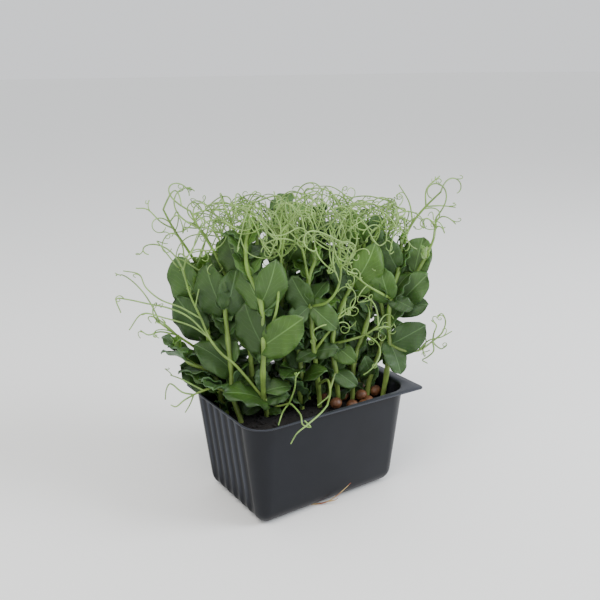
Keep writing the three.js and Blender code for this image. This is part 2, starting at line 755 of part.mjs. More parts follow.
function makeTray() {
  const underFlange = TRAY_HEIGHT - FLANGE_THICKNESS;
  const straight = TRAY_HEIGHT - 2 * RIB_FADE;
  const shell = skin([
    ...roundedFloor(0),
    ...wallRings([straight, underFlange], 0),
    ring(underFlange, flangeCorners(), 0),
    ring(TRAY_HEIGHT, flangeCorners(), 0),
    ...wallRings([TRAY_HEIGHT, underFlange - GAP, straight], WALL),
    ...roundedFloor(WALL).reverse(),
  ]);
  const holes = [-1, 0, 1].flatMap((along) =>
    [-0.5, 0.5].map((across) => {
      const hole = new THREE.CylinderGeometry(DRAIN_HOLE / 2, DRAIN_HOLE / 2, 4 * WALL, 8);
      hole.rotateX(Math.PI / 2);
      hole.translate(along * DRAIN_SPACING[0], across * DRAIN_SPACING[1], 0);
      return solidOf(hole);
    }),
  );
  const plastic = new THREE.MeshStandardMaterial({ color: 0x2b2c2f, roughness: 0.5, metalness: 0 });
  return meshOf("tray", holes.reduce((sum, hole) => sum.subtract(hole), shell), plastic);
}

// The peas lie half sunk in the medium, clear of the stems: most at the right, a few at the back.
function drawSeeds(feet) {
  const seeds = [];
  const room = SEED_RADIUS + STEM_RADIUS[0] + 1;
  for (let n = 0; n < 400 && seeds.length < SEEDS_AT_RIGHT + SEEDS_AT_BACK; n++) {
    const atRight = seeds.length < SEEDS_AT_RIGHT;
    const seed = atRight
      ? new THREE.Vector3(draw(18, 43), draw(-28, -6), MEDIUM_TOP + 1)
      : new THREE.Vector3(draw(-43, 43), draw(0, 28), MEDIUM_TOP + 1);
    const turn = draw(0, Math.PI);
    const clearOfStems = feet.every((foot) => foot.distanceTo(seed) > room);
    const apart = seeds.every((other) => other.seed.distanceTo(seed) > 1.6 * SEED_RADIUS);
    if (clearOfStems && apart) seeds.push({ seed, turn });
  }
  return seeds;
}

function makeMedium(feet) {
  const block = skin([...roundedFloor(WALL + GAP), ...wallRings([MEDIUM_TOP], WALL + GAP)]);
  const seeds = drawSeeds(feet).map(({ seed, turn }) => {
    const pea = new THREE.IcosahedronGeometry(SEED_RADIUS, 0);
    pea.rotateZ(turn);
    pea.scale(1, 0.94, 0.9);
    pea.translate(seed.x, seed.y, seed.z);
    return solidOf(pea);
  });
  const holes = feet.map((foot) => {
    const depth = 2 * (ROOTING_DEPTH + GAP);
    const radius = STEM_RADIUS[0] + 2 * GAP;
    const hole = new THREE.CylinderGeometry(radius, radius, depth, STEM_SIDES);
    hole.rotateX(Math.PI / 2);
    hole.translate(foot.x, foot.y, MEDIUM_TOP);
    return solidOf(hole);
  });
  const filled = joined([block, ...seeds]);
  const material = new THREE.MeshStandardMaterial({ color: 0x241c16, roughness: 0.95, metalness: 0 });
  return meshOf("growing_medium", holes.reduce((sum, hole) => sum.subtract(hole), filled), material);
}

const shoots = growShoots();
const green = new THREE.MeshStandardMaterial({ color: 0x6f9446, roughness: 0.6, metalness: 0 });
const punnet = new THREE.Group();
punnet.add(makeTray());
punnet.add(makeMedium(shoots.map((shoot) => shoot.stem[0])));
shoots.forEach((shoot, n) => {
  const name = "pea_shoot_" + String(n + 1).padStart(2, "0");
  punnet.add(meshOf(name, shootSolid(shoot), green.clone()));
});

export default punnet;
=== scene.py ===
import math

import bmesh
import bpy
import numpy as np
from mathutils import Matrix, Vector


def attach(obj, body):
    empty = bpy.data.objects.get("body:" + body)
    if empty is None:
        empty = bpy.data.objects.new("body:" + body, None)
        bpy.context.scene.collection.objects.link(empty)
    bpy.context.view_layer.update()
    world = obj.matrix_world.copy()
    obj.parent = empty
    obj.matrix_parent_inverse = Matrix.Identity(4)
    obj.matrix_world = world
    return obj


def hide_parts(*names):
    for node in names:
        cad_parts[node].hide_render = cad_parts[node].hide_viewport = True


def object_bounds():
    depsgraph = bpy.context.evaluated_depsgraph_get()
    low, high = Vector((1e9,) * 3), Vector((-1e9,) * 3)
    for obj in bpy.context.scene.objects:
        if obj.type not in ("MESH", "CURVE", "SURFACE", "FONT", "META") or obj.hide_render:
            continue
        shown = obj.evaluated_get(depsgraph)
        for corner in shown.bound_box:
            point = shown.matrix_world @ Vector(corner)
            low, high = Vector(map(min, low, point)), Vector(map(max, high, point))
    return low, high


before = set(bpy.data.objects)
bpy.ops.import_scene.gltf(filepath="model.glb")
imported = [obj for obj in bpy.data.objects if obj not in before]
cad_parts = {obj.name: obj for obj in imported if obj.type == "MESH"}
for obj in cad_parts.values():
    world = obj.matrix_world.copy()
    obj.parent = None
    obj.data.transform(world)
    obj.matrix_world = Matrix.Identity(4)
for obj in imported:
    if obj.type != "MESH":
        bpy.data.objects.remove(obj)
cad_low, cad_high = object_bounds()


# Camera: it looks down on the tray's front left corner, from a little above the plants' tops. The
# small roll is how the camera was held. Places here and in the studio are in metres.
CAMERA_PLACE = Vector((-0.2171, -0.3307, 0.2316))
CAMERA_AIM = Vector((0.0128, 0.0187, 0.1043))
CAMERA_ROLL = math.radians(-0.68)
CAMERA_LENS = 45.4
CAMERA_SENSOR = 36


def set_camera():
    camera = bpy.data.cameras.new("camera")
    camera.lens = CAMERA_LENS
    camera.sensor_width = CAMERA_SENSOR
    camera.clip_start = 0.01
    holder = bpy.data.objects.new("camera", camera)
    level = (CAMERA_AIM - CAMERA_PLACE).to_track_quat("-Z", "Y").to_matrix()
    turn = Matrix.Rotation(CAMERA_ROLL, 3, "Z")
    holder.matrix_world = Matrix.Translation(CAMERA_PLACE) @ (level @ turn).to_4x4()
    bpy.context.scene.collection.objects.link(holder)
    bpy.context.scene.camera = holder


set_camera()


# Studio: a pale table top lit by a soft box in front on the right, a weaker one high on the left,
# and an even white surround.
FLOOR_SIZE = 30
LIGHT_AIM = Vector((0, 0, 0.1))
SOFT_BOX = 0.6  # the boxes' diameter
SURROUND = 1.1


def colour(hex_code):
    """An sRGB hex colour as the linear colour that the shaders take."""
    parts = [int(hex_code[i:i + 2], 16) / 255 for i in (1, 3, 5)]
    linear = [part / 12.92 if part <= 0.04045 else ((part + 0.055) / 1.055) ** 2.4 for part in parts]
    return (*linear, 1)


def new_material(name):
    material = bpy.data.materials.new(name)
    material.use_nodes = True
    return material, material.node_tree.nodes["Principled BSDF"]


def add_node(material, kind, settings, inputs):
    """Adds a node: a setting is a property, an input is a value or another node's output."""
    node = material.node_tree.nodes.new(kind)
    for name, value in settings.items():
        setattr(node, name, value)
    for name, value in inputs.items():
        if isinstance(value, bpy.types.NodeSocket):
            material.node_tree.links.new(value, node.inputs[name])
        else:
            node.inputs[name].default_value = value
    return node


def wire(material, output, target):
    material.node_tree.links.new(output, target)


def new_piece(name, mesh, material, smooth=True):
    piece = bpy.data.objects.new(name, mesh)
    bpy.context.scene.collection.objects.link(piece)
    mesh.materials.clear()
    mesh.materials.append(material)
    if smooth:
        mesh.shade_smooth()
    return piece


def finished_mesh(name, bm):
    mesh = bpy.data.meshes.new(name)
    bm.to_mesh(mesh)
    bm.free()
    return mesh


def make_floor():
    bm = bmesh.new()
    bmesh.ops.create_grid(bm, x_segments=1, y_segments=1, size=FLOOR_SIZE)
    material, shader = new_material("matt white table top")
    shader.inputs["Base Color"].default_value = colour("#f8f8f6")
    shader.inputs["Roughness"].default_value = 0.9
    floor = new_piece("floor", finished_mesh("floor", bm), material, smooth=False)


def add_light(name, place, power, tint):
    light = bpy.data.lights.new(name, "AREA")
    light.shape = "DISK"
    light.size = SOFT_BOX
    light.energy = power
    light.color = colour(tint)[:3]
    holder = bpy.data.objects.new(name, light)
    way = (LIGHT_AIM - Vector(place)).to_track_quat("-Z", "Y")
    holder.matrix_world = Matrix.Translation(place) @ way.to_matrix().to_4x4()
    bpy.context.scene.collection.objects.link(holder)


def set_surround():
    world = bpy.data.worlds.new("studio")
    world.use_nodes = True
    world.node_tree.nodes["Background"].inputs["Color"].default_value = colour("#f6f8fb")
    world.node_tree.nodes["Background"].inputs["Strength"].default_value = SURROUND
    bpy.context.scene.world = world


make_floor()
set_surround()
add_light("soft box left", (-0.5, -0.3, 0.95), 6, "#fffaf2")
add_light("soft box right", (0.75, -0.7, 0.7), 12, "#f4f8ff")


# Tray: a punnet drawn from a sheet of black polypropylene over a mould. The short ends are pressed
# into ribs that stiffen them, and the corners and the floor's edge are round. The flange is cut wide
# at the back and the right end and narrow at the left, and at the front it widens to the right.
MM = 0.001  # the sizes from here on are in millimetres
TRAY_HEIGHT = 60
RIM_LENGTH = 103  # over the walls, without the flange
RIM_WIDTH = 72.6
WALL_DRAFT = 6.9  # how far each wall leans in on its way down
RIM_CORNER = 13
FLOOR_CORNER = 6
LEAST_CORNER = 2
FLOOR_ROUNDING = 7.6
WALL = 1
WALL_HEIGHTS = (20, 34, 47)
FLANGE = 5.5
FLANGE_FRONT = 4.5
FLANGE_NARROW = 0.3
FLANGE_CORNER = 3
FLANGE_THICKNESS = 0.9
FLANGE_ROLL = 0.3  # the rounding of the flange's edges
MOUTH_ROLL = (0.8, 0.25)  # the rounding of the tray's mouth
RIBS = 6
RIB_DEPTH = 1.5
RIB_FADE = 1.6  # the grooves run out from twice to half of this below the rim
RIB_FADE_STEPS = (0, 0.6, 1.2, 1.8)
RIB_CREST = 0.17  # half the width of a crest, as a share of a rib's
DRAIN_HOLE = 4
DRAIN_SPACING = (30, 28)
DRAIN_SIDES = 24
ARC_STEPS = 8
RIB_STEPS = 12
# The flange's paleness is a painted highlight on its top, with some rubbing; the rest of the walls get a
# little paleness all over.
FLANGE_LIGHT_AND_WEAR = 0.6
WEAR_WALL = 0.12
RIB_MARK_REACH = 0.1  # how far off the wall's surface still counts as on it
MOULD_GRAIN = 1.11  # finer on a real one, and drawn as coarse as it needs to show
MOULD_MOTTLE = 22.2


def smoothstep(value, low, high):
    share = min(max((value - low) / (high - low), 0), 1)
    return share * share * (3 - 2 * share)


def wall_corners(z, inset):
    lean = WALL_DRAFT * (1 - z / TRAY_HEIGHT) + inset
    x = RIM_LENGTH / 2 - lean
    y = RIM_WIDTH / 2 - lean
    radius = FLOOR_CORNER + (RIM_CORNER - FLOOR_CORNER) * z / TRAY_HEIGHT
    radius = max(radius - inset, LEAST_CORNER)
    return [(sx * x, sy * y, radius) for sx, sy in ((1, 1), (-1, 1), (-1, -1), (1, -1))]


def flange_corners(grow):
    x = RIM_LENGTH / 2 + grow
    y = RIM_WIDTH / 2 + grow
    return [
        (x + FLANGE, y + FLANGE, FLANGE_CORNER + grow),
        (-x - FLANGE_NARROW, y + FLANGE, FLANGE_CORNER + grow),
        (-x - FLANGE_NARROW, -y - FLANGE_NARROW, RIM_CORNER + FLANGE_NARROW + grow),
        (x + FLANGE, -y - FLANGE_FRONT, FLANGE_CORNER + grow),
    ]


def rib_depth(z):
    rising = smoothstep(z, 0, FLOOR_ROUNDING)
    fading = smoothstep(z, TRAY_HEIGHT - 2 * RIB_FADE, TRAY_HEIGHT - RIB_FADE / 2)
    return RIB_DEPTH * rising * (1 - fading)


def rib_profile(share):
    """How much of the groove's depth there is across the ribbed end: narrow crests, broad grooves."""
    from_crest = abs((share * RIBS + 0.5) % 1 - 0.5)
    return 1 - math.exp(-((from_crest / RIB_CREST) ** 2))


def ring(z, corners, depth):
    """The points round the tray at one height, from its back right corner against the clock."""
    points = []
    for quarter, (x, y, radius) in enumerate(corners):
        middle = (x - math.copysign(radius, x), y - math.copysign(radius, y))
        for step in range(ARC_STEPS + 1):
            angle = (quarter + step / ARC_STEPS) * math.pi / 2
            points.append([middle[0] + radius * math.cos(angle), middle[1] + radius * math.sin(angle), z])
        if quarter % 2 == 0:
            continue
        next_x, next_y, next_radius = corners[(quarter + 1) % 4]
        start = points[-1]
        end = (next_x, next_y - math.copysign(next_radius, next_y))
        for step in range(1, RIBS * RIB_STEPS):
            share = step / (RIBS * RIB_STEPS)
            across = start[0] + (end[0] - start[0]) * share
            across -= math.copysign(depth * rib_profile(share), across)
            points.append([across, start[1] + (end[1] - start[1]) * share, z])
    return points


def rounded_floor(inset, steps=6):
    radius = FLOOR_ROUNDING - inset
    rings = []
    for step in range(steps + 1):
        angle = step / steps * math.pi / 2
        z = inset + radius * (1 - math.cos(angle))
        corners = wall_corners(z, inset + radius * (1 - math.sin(angle)))
        rings.append(ring(z, corners, rib_depth(z - inset)))
    return rings


def wall_rings(heights, inset):
    return [ring(z, wall_corners(z, inset), rib_depth(z)) for z in heights]


def skin(rings):
    """One closed body: a disc whose rim is drawn out from ring to ring, and closed at the last."""
    bm = bmesh.new()
    made = bmesh.ops.create_circle(bm, cap_ends=True, segments=len(rings[0]), radius=1)
    around = made["verts"]
    for vert, point in zip(around, rings[0]):
        vert.co = Vector(point) * MM
    edges = [edge for edge in bm.edges]
    for points in rings[1:]:
        drawn = bmesh.ops.extrude_edge_only(bm, edges=edges)["geom"]
        edges = [item for item in drawn if isinstance(item, bmesh.types.BMEdge) and item.is_boundary]
        new = {vert for edge in edges for vert in edge.verts}
        onto = {edge.other_vert(vert): vert for vert in new for edge in vert.link_edges}
        around = [onto[vert] for vert in around]
        for vert, point in zip(around, points):
            vert.co = Vector(point) * MM
    bmesh.ops.contextual_create(bm, geom=edges)
    bmesh.ops.recalc_face_normals(bm, faces=bm.faces)
    return bm


def cut_holes(piece, cutters):
    """Takes the cutters' shapes out of the piece, and leaves the result in its mesh."""
    tool = bpy.data.objects.new("cutters", finished_mesh("cutters", cutters))
    bpy.context.scene.collection.objects.link(tool)
    cut = piece.modifiers.new("holes", "BOOLEAN")
    cut.object = tool
    cut.solver = "EXACT"
    bake_modifiers(piece)
    bpy.data.objects.remove(tool)


def bake_modifiers(piece):
    bpy.context.view_layer.update()
    depsgraph = bpy.context.evaluated_depsgraph_get()
    mesh = bpy.data.meshes.new_from_object(piece.evaluated_get(depsgraph))
    piece.modifiers.clear()
    piece.data = mesh


def mark_wear_and_painted_light(mesh):
    """How pale each point is painted: a painted highlight on the ribs' crests, with some rubbing, falling
    to painted shade in their grooves; a painted highlight with some rubbing on the flange, and a little
    paleness elsewhere.
    """
    wear_and_painted_light = mesh.attributes.new("wear_and_painted_light", "FLOAT", "POINT")
    for vert, mark in zip(mesh.vertices, wear_and_painted_light.data):
        x, y, z = vert.co / MM
        from_wall = RIM_LENGTH / 2 - WALL_DRAFT * (1 - z / TRAY_HEIGHT) - abs(x)
        on_end = -RIB_MARK_REACH < from_wall < RIB_DEPTH + RIB_MARK_REACH and abs(y) < RIM_WIDTH / 2 - RIM_CORNER
        if on_end and FLOOR_ROUNDING < z < TRAY_HEIGHT - RIB_FADE:
            # A painted highlight on each crest, falling to painted shade at the bottom of the groove.
            mark.value = 1 - from_wall / RIB_DEPTH
        else:
            mark.value = FLANGE_LIGHT_AND_WEAR if z > TRAY_HEIGHT - FLANGE_THICKNESS else WEAR_WALL


def pattern_scale(size):
    """The scale of a noise whose patches are so many millimetres across."""
    return 1 / (size * MM)


def black_polypropylene():
    """Thermoformed black polypropylene: satin, with the faint mottle that a chilled mould leaves. It is
    painted paler as a painted highlight on the ribs' crests and the flange, with some rubbing there too,
    and painted shade stays in the grooves."""
    material, shader = new_material("thermoformed black polypropylene")
    place = add_node(material, "ShaderNodeTexCoord", {}, {}).outputs["Object"]
    grain = add_node(
        material,
        "ShaderNodeTexNoise",
        {},
        {"Vector": place, "Scale": pattern_scale(MOULD_GRAIN), "Detail": 3},
    )
    cloud = add_node(
        material,
        "ShaderNodeTexNoise",
        {},
        {"Vector": place, "Scale": pattern_scale(MOULD_MOTTLE), "Detail": 4},
    )
    tint = add_node(material, "ShaderNodeValToRGB", {}, {"Fac": cloud.outputs["Fac"]})
    tint.color_ramp.elements[0].position = 0.35
    tint.color_ramp.elements[0].color = colour("#090a0e")
    tint.color_ramp.elements[1].position = 0.75
    tint.color_ramp.elements[1].color = colour("#111217")
    wear_and_painted_light = add_node(material, "ShaderNodeAttribute", {"attribute_name": "wear_and_painted_light"}, {}).outputs["Fac"]
    # Mixed towards pale grey: a painted highlight on the ribs' crests and the flange, with some rubbing,
    # and painted shade in the grooves.
    rubbed_and_lit = add_node(
        material,
        "ShaderNodeMix",
        {"data_type": "RGBA"},
        {"Factor": wear_and_painted_light, "A": tint.outputs["Color"], "B": colour("#43464e")},
    )
    wire(material, rubbed_and_lit.outputs["Result"], shader.inputs["Base Color"])
    shader.inputs["Specular IOR Level"].default_value = 0.16
    rough = add_node(
        material, "ShaderNodeMapRange", {}, {"Value": cloud.outputs["Fac"], "To Min": 0.3, "To Max": 0.42}
    )
    wire(material, rough.outputs["Result"], shader.inputs["Roughness"])
    bump = add_node(
        material,
        "ShaderNodeBump",
        {},
        {"Height": grain.outputs["Fac"], "Strength": 0.12, "Distance": 0.05 * MM},
    )
    wire(material, bump.outputs["Normal"], shader.inputs["Normal"])
    return material


def make_tray():
    under_flange = TRAY_HEIGHT - FLANGE_THICKNESS
    fade = TRAY_HEIGHT - 2 * RIB_FADE
    walls = [*WALL_HEIGHTS, *(fade + step for step in RIB_FADE_STEPS)]
    bm = skin([
        *rounded_floor(0),
        *wall_rings([*walls, under_flange], 0),
        ring(under_flange, flange_corners(-FLANGE_ROLL), 0),
        ring(under_flange + FLANGE_ROLL, flange_corners(0), 0),
        ring(TRAY_HEIGHT - FLANGE_ROLL, flange_corners(0), 0),
        ring(TRAY_HEIGHT, flange_corners(-FLANGE_ROLL), 0),
        ring(TRAY_HEIGHT, wall_corners(TRAY_HEIGHT, WALL - MOUTH_ROLL[0]), 0),
        ring(TRAY_HEIGHT - MOUTH_ROLL[1], wall_corners(TRAY_HEIGHT, WALL - MOUTH_ROLL[1]), 0),
        *wall_rings([TRAY_HEIGHT - WALL, *walls[::-1]], WALL),
        *rounded_floor(WALL)[::-1],
    ])
    tray = new_piece("punnet", finished_mesh("punnet", bm), black_polypropylene())
    cutters = bmesh.new()
    for along in (-1, 0, 1):
        for across in (-0.5, 0.5):
            spot = Matrix.Translation((along * DRAIN_SPACING[0] * MM, across * DRAIN_SPACING[1] * MM, 0))
            bmesh.ops.create_cone(
                cutters,
                cap_ends=True,
                segments=DRAIN_SIDES,
                radius1=DRAIN_HOLE / 2 * MM,
                radius2=DRAIN_HOLE / 2 * MM,
                depth=4 * WALL * MM,
                matrix=spot,
            )
    cut_holes(tray, cutters)
    mark_wear_and_painted_light(tray.data)
    tray.data.shade_smooth()
    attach(tray, "root")
    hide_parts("tray")


make_tray()


# Shoots: semi-leafless peas, sown thick and cut young. Each has a smooth hollow stem, a pair of
# clasping stipules at each joint, and leaf stalks that end in branched tendrils instead of leaflets.
# Where each stem, stipule and tendril goes is worked out first, clear of its neighbours.
MEDIUM_TOP = 47
ROOTING_DEPTH = 6
SEED_RADIUS = 3.6
SEEDS_AT_RIGHT = 8  # they lie bare at the right end, where the shoots stand thin
SEEDS_AT_BACK = 3
SEED_AREA_RIGHT = ((18, 43), (-28, -6))
SEED_AREA_BACK = ((-43, 43), (0, 28))
SEED_SPACING = 1.6  # the least distance between two of them, in radii
STEM_RADIUS = (1.6, 1)  # at the foot and at the tip, as for the next two
STALK_RADIUS = (0.85, 0.5)
TENDRIL_RADIUS = (0.5, 0.32)
TENDRIL_STEPS = 25
WINDING_RISE = 0.25  # how far a tendril moves along its axis as it winds
BLADE_THICKNESS = 0.7  # with the room that its waves take up
# From a stipule's root to its tip: the share of its length, and how far its inner and outer edges are
# from the midrib.
BLADE_OUTLINE = ((0, 0.02, 0.08), (0.22, 0.24, 0.35), (0.62, 0.24, 0.28), (1, 0, 0))
BLADE_ARCH = 0.08  # the height of the midrib's arch, as a share of its length
BLADE_CUP = 0.22  # how steeply the two halves rise from the midrib
OTHER_SHOOTS = 8
OTHER_HEIGHT = (84, 104)
OTHER_PAIRS = ((2, 0, 18, 26), (3, 1.4, 18, 26), (4, 0.6, 18, 26), (5, 0, 14, 20))
OTHER_STALKS = ((3, 0), (4, 0.8))
YOUNG_SHOOTS = 3  # short ones, in the gaps between the tall ones
YOUNG_HEIGHT = (38, 60)
YOUNG_PAIRS = ((3, 0, 12, 18), (5, 0.8, 14, 20))
FOOT_AREA = ((-42, 42), (-2, 27))  # where the feet of the shoots that grow by rule stand
CROWN_TOP = 176  # what grows by rule stays under this
ABOVE_RIM = 3  # up to so far above the rim, it also keeps the next distance inside it
INSIDE_RIM = 4
STEM_STEPS = 5
CLEARANCE = 1.9
SAMPLE_STEP = 1.5
CELL = 5
TRIES = 14
SEED_TRIES = 400
VIEW_TURN = math.radians(-33.344)

# The shoots that stand out are given here point by point, across, towards the viewer and up. A blade is
# [which stem point, tip, hand, the way its upper face looks]. A stalk is [which stem point, its points, the
# tendrils drawn at its end, and the tendrils given one by one, each as which stalk point and its points].
MAIN_SHOOTS = [
    {
        "stem": [
            [-19, 10, 48], [-20, 14, 59], [-20, 18, 76], [-19, 20, 93], [-20, 21, 117], [-26, 20, 133],
            [-27, 18, 145], [-25, 16, 155],
        ],
        "blades": [
            [3, [2, 25, 109], 1, [-0.1, 1, 0.2]],
            [3, [-29, 17, 115], -1, [-0.3, 1, 0.1]],
            [4, [-11, 25, 139], 1, [0.3, 1, 0.1]],
            [4, [-29, 15, 137], -1, [-0.6, 0.8, 0]],
            [1, [-41, 26, 68], -1, [-0.1, 0.5, 1]],
            [1, [-31, 20, 53], 1, [0.1, 1, 0.6]],
            [1, [-6, 16, 62], 1, [0, 0.8, 1]],
        ],
        "stalks": [
            [
                1,
                [
                    [-34, 16, 79], [-42, 17, 87], [-48, 17, 96], [-52, 15, 106], [-58, 10, 118],
                    [-61, 8, 131],
                ],
                1,
                [
                    [
                        3,
                        [
                            [-58, 16, 107], [-68, 18, 113], [-79, 22, 117], [-87, 25, 120],
                            [-93, 27, 121], [-91, 28, 114],
                        ],
                    ],
                    [3, [[-57, 18, 103], [-70, 22, 109], [-81, 24, 112], [-88, 26, 104]]],
                    [4, [[-62, 17, 113], [-72, 19, 118], [-79, 20, 125], [-82, 20, 132], [-90, 20, 134]]],
                ],
            ],
            [3, [[-12, 23, 112], [-10, 21, 131], [-8, 18, 146], [-7, 18, 154]], 2, []],
            [1, [[-13, 19, 57], [-6, 25, 61]], 0, [
                [2, [[-3, 28, 71], [-2, 30, 81]]],
                [2, [[-9, 40, 63.5], [-11, 54, 63]]],
                [2, [[-4, 36, 65], [0, 49, 66], [1, 54, 63], [5, 55, 62], [2, 56, 66]]],
            ]],
        ],
    },
    {
        "stem": [
            [-33, 17, 48], [-37, 14, 61], [-38, 10, 76], [-39, 8, 92], [-40, 6, 108], [-39, 3, 125],
            [-38, 0, 143],
        ],
        "blades": [
            [1, [-28, 6, 69], 1, [0, 0.6, 1]],
            [4, [-50, 8, 133], -1, [-0.3, 1, 0.3]],
            [4, [-33, 9, 131], 1, [0.2, 1, 0.3]],
            [2, [-56, 12, 91], -1, [0, 0.7, 0.8]],
        ],
        "stalks": [
            [1, [[-46, 16, 67], [-52, 20, 67], [-57, 23, 66]], 0, [
                [2, [[-58, 19, 70], [-64, 18, 73], [-70, 17, 75]]],
                [3, [[-63, 24, 68], [-69, 22, 72], [-72, 20, 68], [-73, 20, 62]]],
                [3, [[-62, 26, 64], [-66, 27, 61], [-69, 27, 62]]],
                [3, [[-59, 23, 61], [-62, 24, 56]]],
            ]],
            [5, [[-45, 4, 140], [-52, 6, 153], [-56, 6, 162]], 2, []],
        ],
    },
    {
        "stem": [
            [-45, -2, 48], [-48, -1, 62], [-50, 0, 77], [-51, -1, 93], [-53, -4, 111], [-55, -8, 128],
        ],
        "blades": [
            [1, [-66, 6, 76], -1, [0, 0.8, 0.7]],
            [3, [-67, 0, 114], -1, [-0.2, 1, 0.2]],
            [4, [-67, -2, 135], -1, [-0.4, 1, 0.3]],
            [4, [-49, -3, 137], 1, [0.3, 1, 0.1]],
        ],
        "stalks": [
            [2, [[-58, 6, 87], [-66, 12, 96], [-74, 15, 104]], 2, [
                [2, [[-74, 15, 99], [-80, 17, 98], [-84, 18, 101]]],
            ]],
            [5, [[-60, -2, 140], [-66, 2, 152], [-70, 6, 163]], 1, [
                [2, [[-72, 4, 156], [-78, 6, 163], [-84, 7, 164]]],
            ]],
        ],
    },
    {
        "stem": [[-28, 1, 48], [-27, 3, 70], [-28, 5, 92], [-29, 6, 112], [-30, 6, 130], [-29, 5, 148]],
        "blades": [
            [4, [-38, 10, 149], -1, [-0.3, 1, 0.3]],
            [1, [-16, 2, 74], 1, [0.2, 1, 0.5]],
        ],
        "stalks": [
            [4, [[-33, 8, 150], [-37, 8, 162]], 1, []],
            [5, [[-27, 7, 158], [-23, 7, 166]], 1, []],
        ],
    },
    {
        "stem": [
            [11, -1, 48], [10, 2, 62], [8, 5, 83], [7, 6, 95], [6, 8, 110], [5, 8, 124], [9, 7, 136],
        ],
        "blades": [
            [2, [-2, 11, 80], -1, [-0.2, 1, 0.9]],
            [2, [21, 8, 86], 1, [0.1, 1, 0.9]],
            [4, [-4, 12, 128], -1, [-0.2, 1, 0.2]],
            [4, [20, 14, 99], -1, [-0.1, 1, 0.3]],
            [4, [-6, 12, 101], 1, [-0.2, 1, 0.1]],
        ],
        "stalks": [
            [4, [[14, 12, 113], [20, 14, 121], [22, 14, 133], [20, 12, 146]], 2, []],
            [2, [[13, 9, 92], [19, 11, 101], [22, 12, 107]], 0, [
                [2, [[12, 14, 101], [7, 15, 98], [9, 15, 93]]],
            ]],
            [1, [[15, 10, 68], [16, 22, 66], [14, 36, 65]], 0, [
                [3, [[10, 48, 66], [3, 59, 65], [-2, 58, 60], [-5, 57, 54]]],
            ]],
            [5, [[2, 12, 142], [-3, 13, 154]], 2, []],
        ],
    },
    {
        "stem": [[22, -4, 48], [20, -2, 68], [18, -1, 85], [22, -3, 103], [29, -5, 118], [33, -6, 132]],
        "blades": [
            [2, [31, 4, 76], 1, [0.1, 1, 0.4]],
            [1, [32, 3, 61], 1, [0, 1, 0.6]],
            [4, [21, -2, 138], -1, [-0.2, 1, 0.2]],
            [4, [42, -2, 141], 1, [0.3, 1, 0.2]],
        ],
        "stalks": [
            [2, [[26, 2, 88], [36, 4, 92], [43, 4, 97]], 2, []],
            [1, [[17, 6, 62], [16, 13, 60.5]], 0, [
                [2, [[14, 23, 63], [9, 32, 63]]],
            ]],
            [5, [[31, -2, 146], [27, 0, 157]], 2, []],
        ],
    },
    {
        "stem": [
            [30, -7, 48], [31, -8, 72], [37, -10, 90], [40, -12, 104], [37, -12, 122], [36, -14, 140],
        ],
        "blades": [
            [3, [34, -3, 108], -1, [0.2, 1, 0.3]],
            [5, [30, -10, 157], -1, [-0.2, 1, 0.2]],
            [5, [45, -13, 155], 1, [0.3, 1, 0.2]],
        ],
        "stalks": [
            [4, [[40, -11, 138], [44, -10, 150]], 2, []],
        ],
    },
    {
        "stem": [
            [39, -12, 48], [41, -12, 62], [47, -14, 78], [48, -15, 95], [45, -17, 112], [46, -20, 128],
        ],
        "blades": [
            [1, [37, -3, 75], -1, [-0.1, 1, 0.5]],
            [4, [38, -15, 132], -1, [-0.3, 1, 0.2]],
            [5, [43, -24, 147], -1, [0.2, 1, 0.1]],
        ],
        "stalks": [
            [5, [[50, -22, 140], [53, -23, 152]], 2, []],
        ],
    },
    {
        "stem": [
            [48, -10, 48], [50, -10, 64], [51, -8, 82], [50, -7, 96], [51, -8, 109], [56, -15, 124],
            [58, -20, 138],
        ],
        "blades": [
            [2, [70, 0, 96], 1, [0, 1, 0.3]],
            [2, [57, 2, 68], 1, [0.3, 1, 0.1]],
            [4, [63, -4, 104], 1, [0.2, 1, 0.5]],
            [4, [44, -3, 129], -1, [-0.3, 1, 0.1]],
            [5, [46, -14, 143], -1, [-0.2, 1, 0.1]],
        ],
        "stalks": [
            [2, [[58, -3, 80], [67, -5, 79], [75, -6, 84]], 0, [
                [3, [[80, -6, 89], [82, -7, 95], [80, -7, 100], [77, -6, 99]]],
                [3, [[75, -3, 90], [76, -2, 95], [73, -2, 98]]],
                [2, [[72, -2, 86], [79, -2, 88], [85, -3, 91]]],
                [3, [[78, -9, 80], [81, -10, 78], [83, -9, 80]]],
                [3, [[76, -7, 78], [73, -8, 74], [70, -8, 72], [73, -8, 70]]],
            ]],
            [4, [[46, -3, 113], [37, 0, 119], [29, 1, 126]], 1, []],
            [6, [[64, -22, 149], [71, -22, 158], [79, -22, 166]], 1, [
                [1, [[62, -24, 160], [56, -24, 170]]],
                [2, [[71, -21, 168], [78, -21, 175]]],
                [2, [[80, -24, 158], [88, -24, 157]]],
            ]],
        ],
    },
    {
        "stem": [
            [34, -26, 48], [38, -26, 65], [47, -24, 85], [56, -21, 101], [64, -18, 116], [71, -17, 130],
        ],
        "blades": [
            [3, [71, -12, 121], -1, [-0.3, 1, 0.2]],
            [3, [73, -12, 104], 1, [0.1, 1, 0.4]],
            [4, [71, -27, 140], -1, [-0.3, 1, 0.2]],
        ],
        "stalks": [
            [5, [[75, -16, 141], [76, -16, 153]], 2, []],
        ],
    },
    {
        "stem": [[-8, -3, 48], [-7, -2, 62], [-9, -2, 80], [-10, -2, 98], [-9, -2, 115], [-7, -2, 132]],
        "blades": [
            [1, [-16, 5, 62], -1, [-0.1, 1, 0.8]],
            [3, [-19, 4, 116], -1, [-0.3, 1, 0.3]],
            [5, [-15, 4, 148], -1, [-0.3, 1, 0.2]],
            [5, [3, 2, 151], 1, [0.3, 1, 0.2]],
        ],
        "stalks": [
            [4, [[-9, 3, 132], [-13, 6, 150]], 2, []],
        ],
    },
]


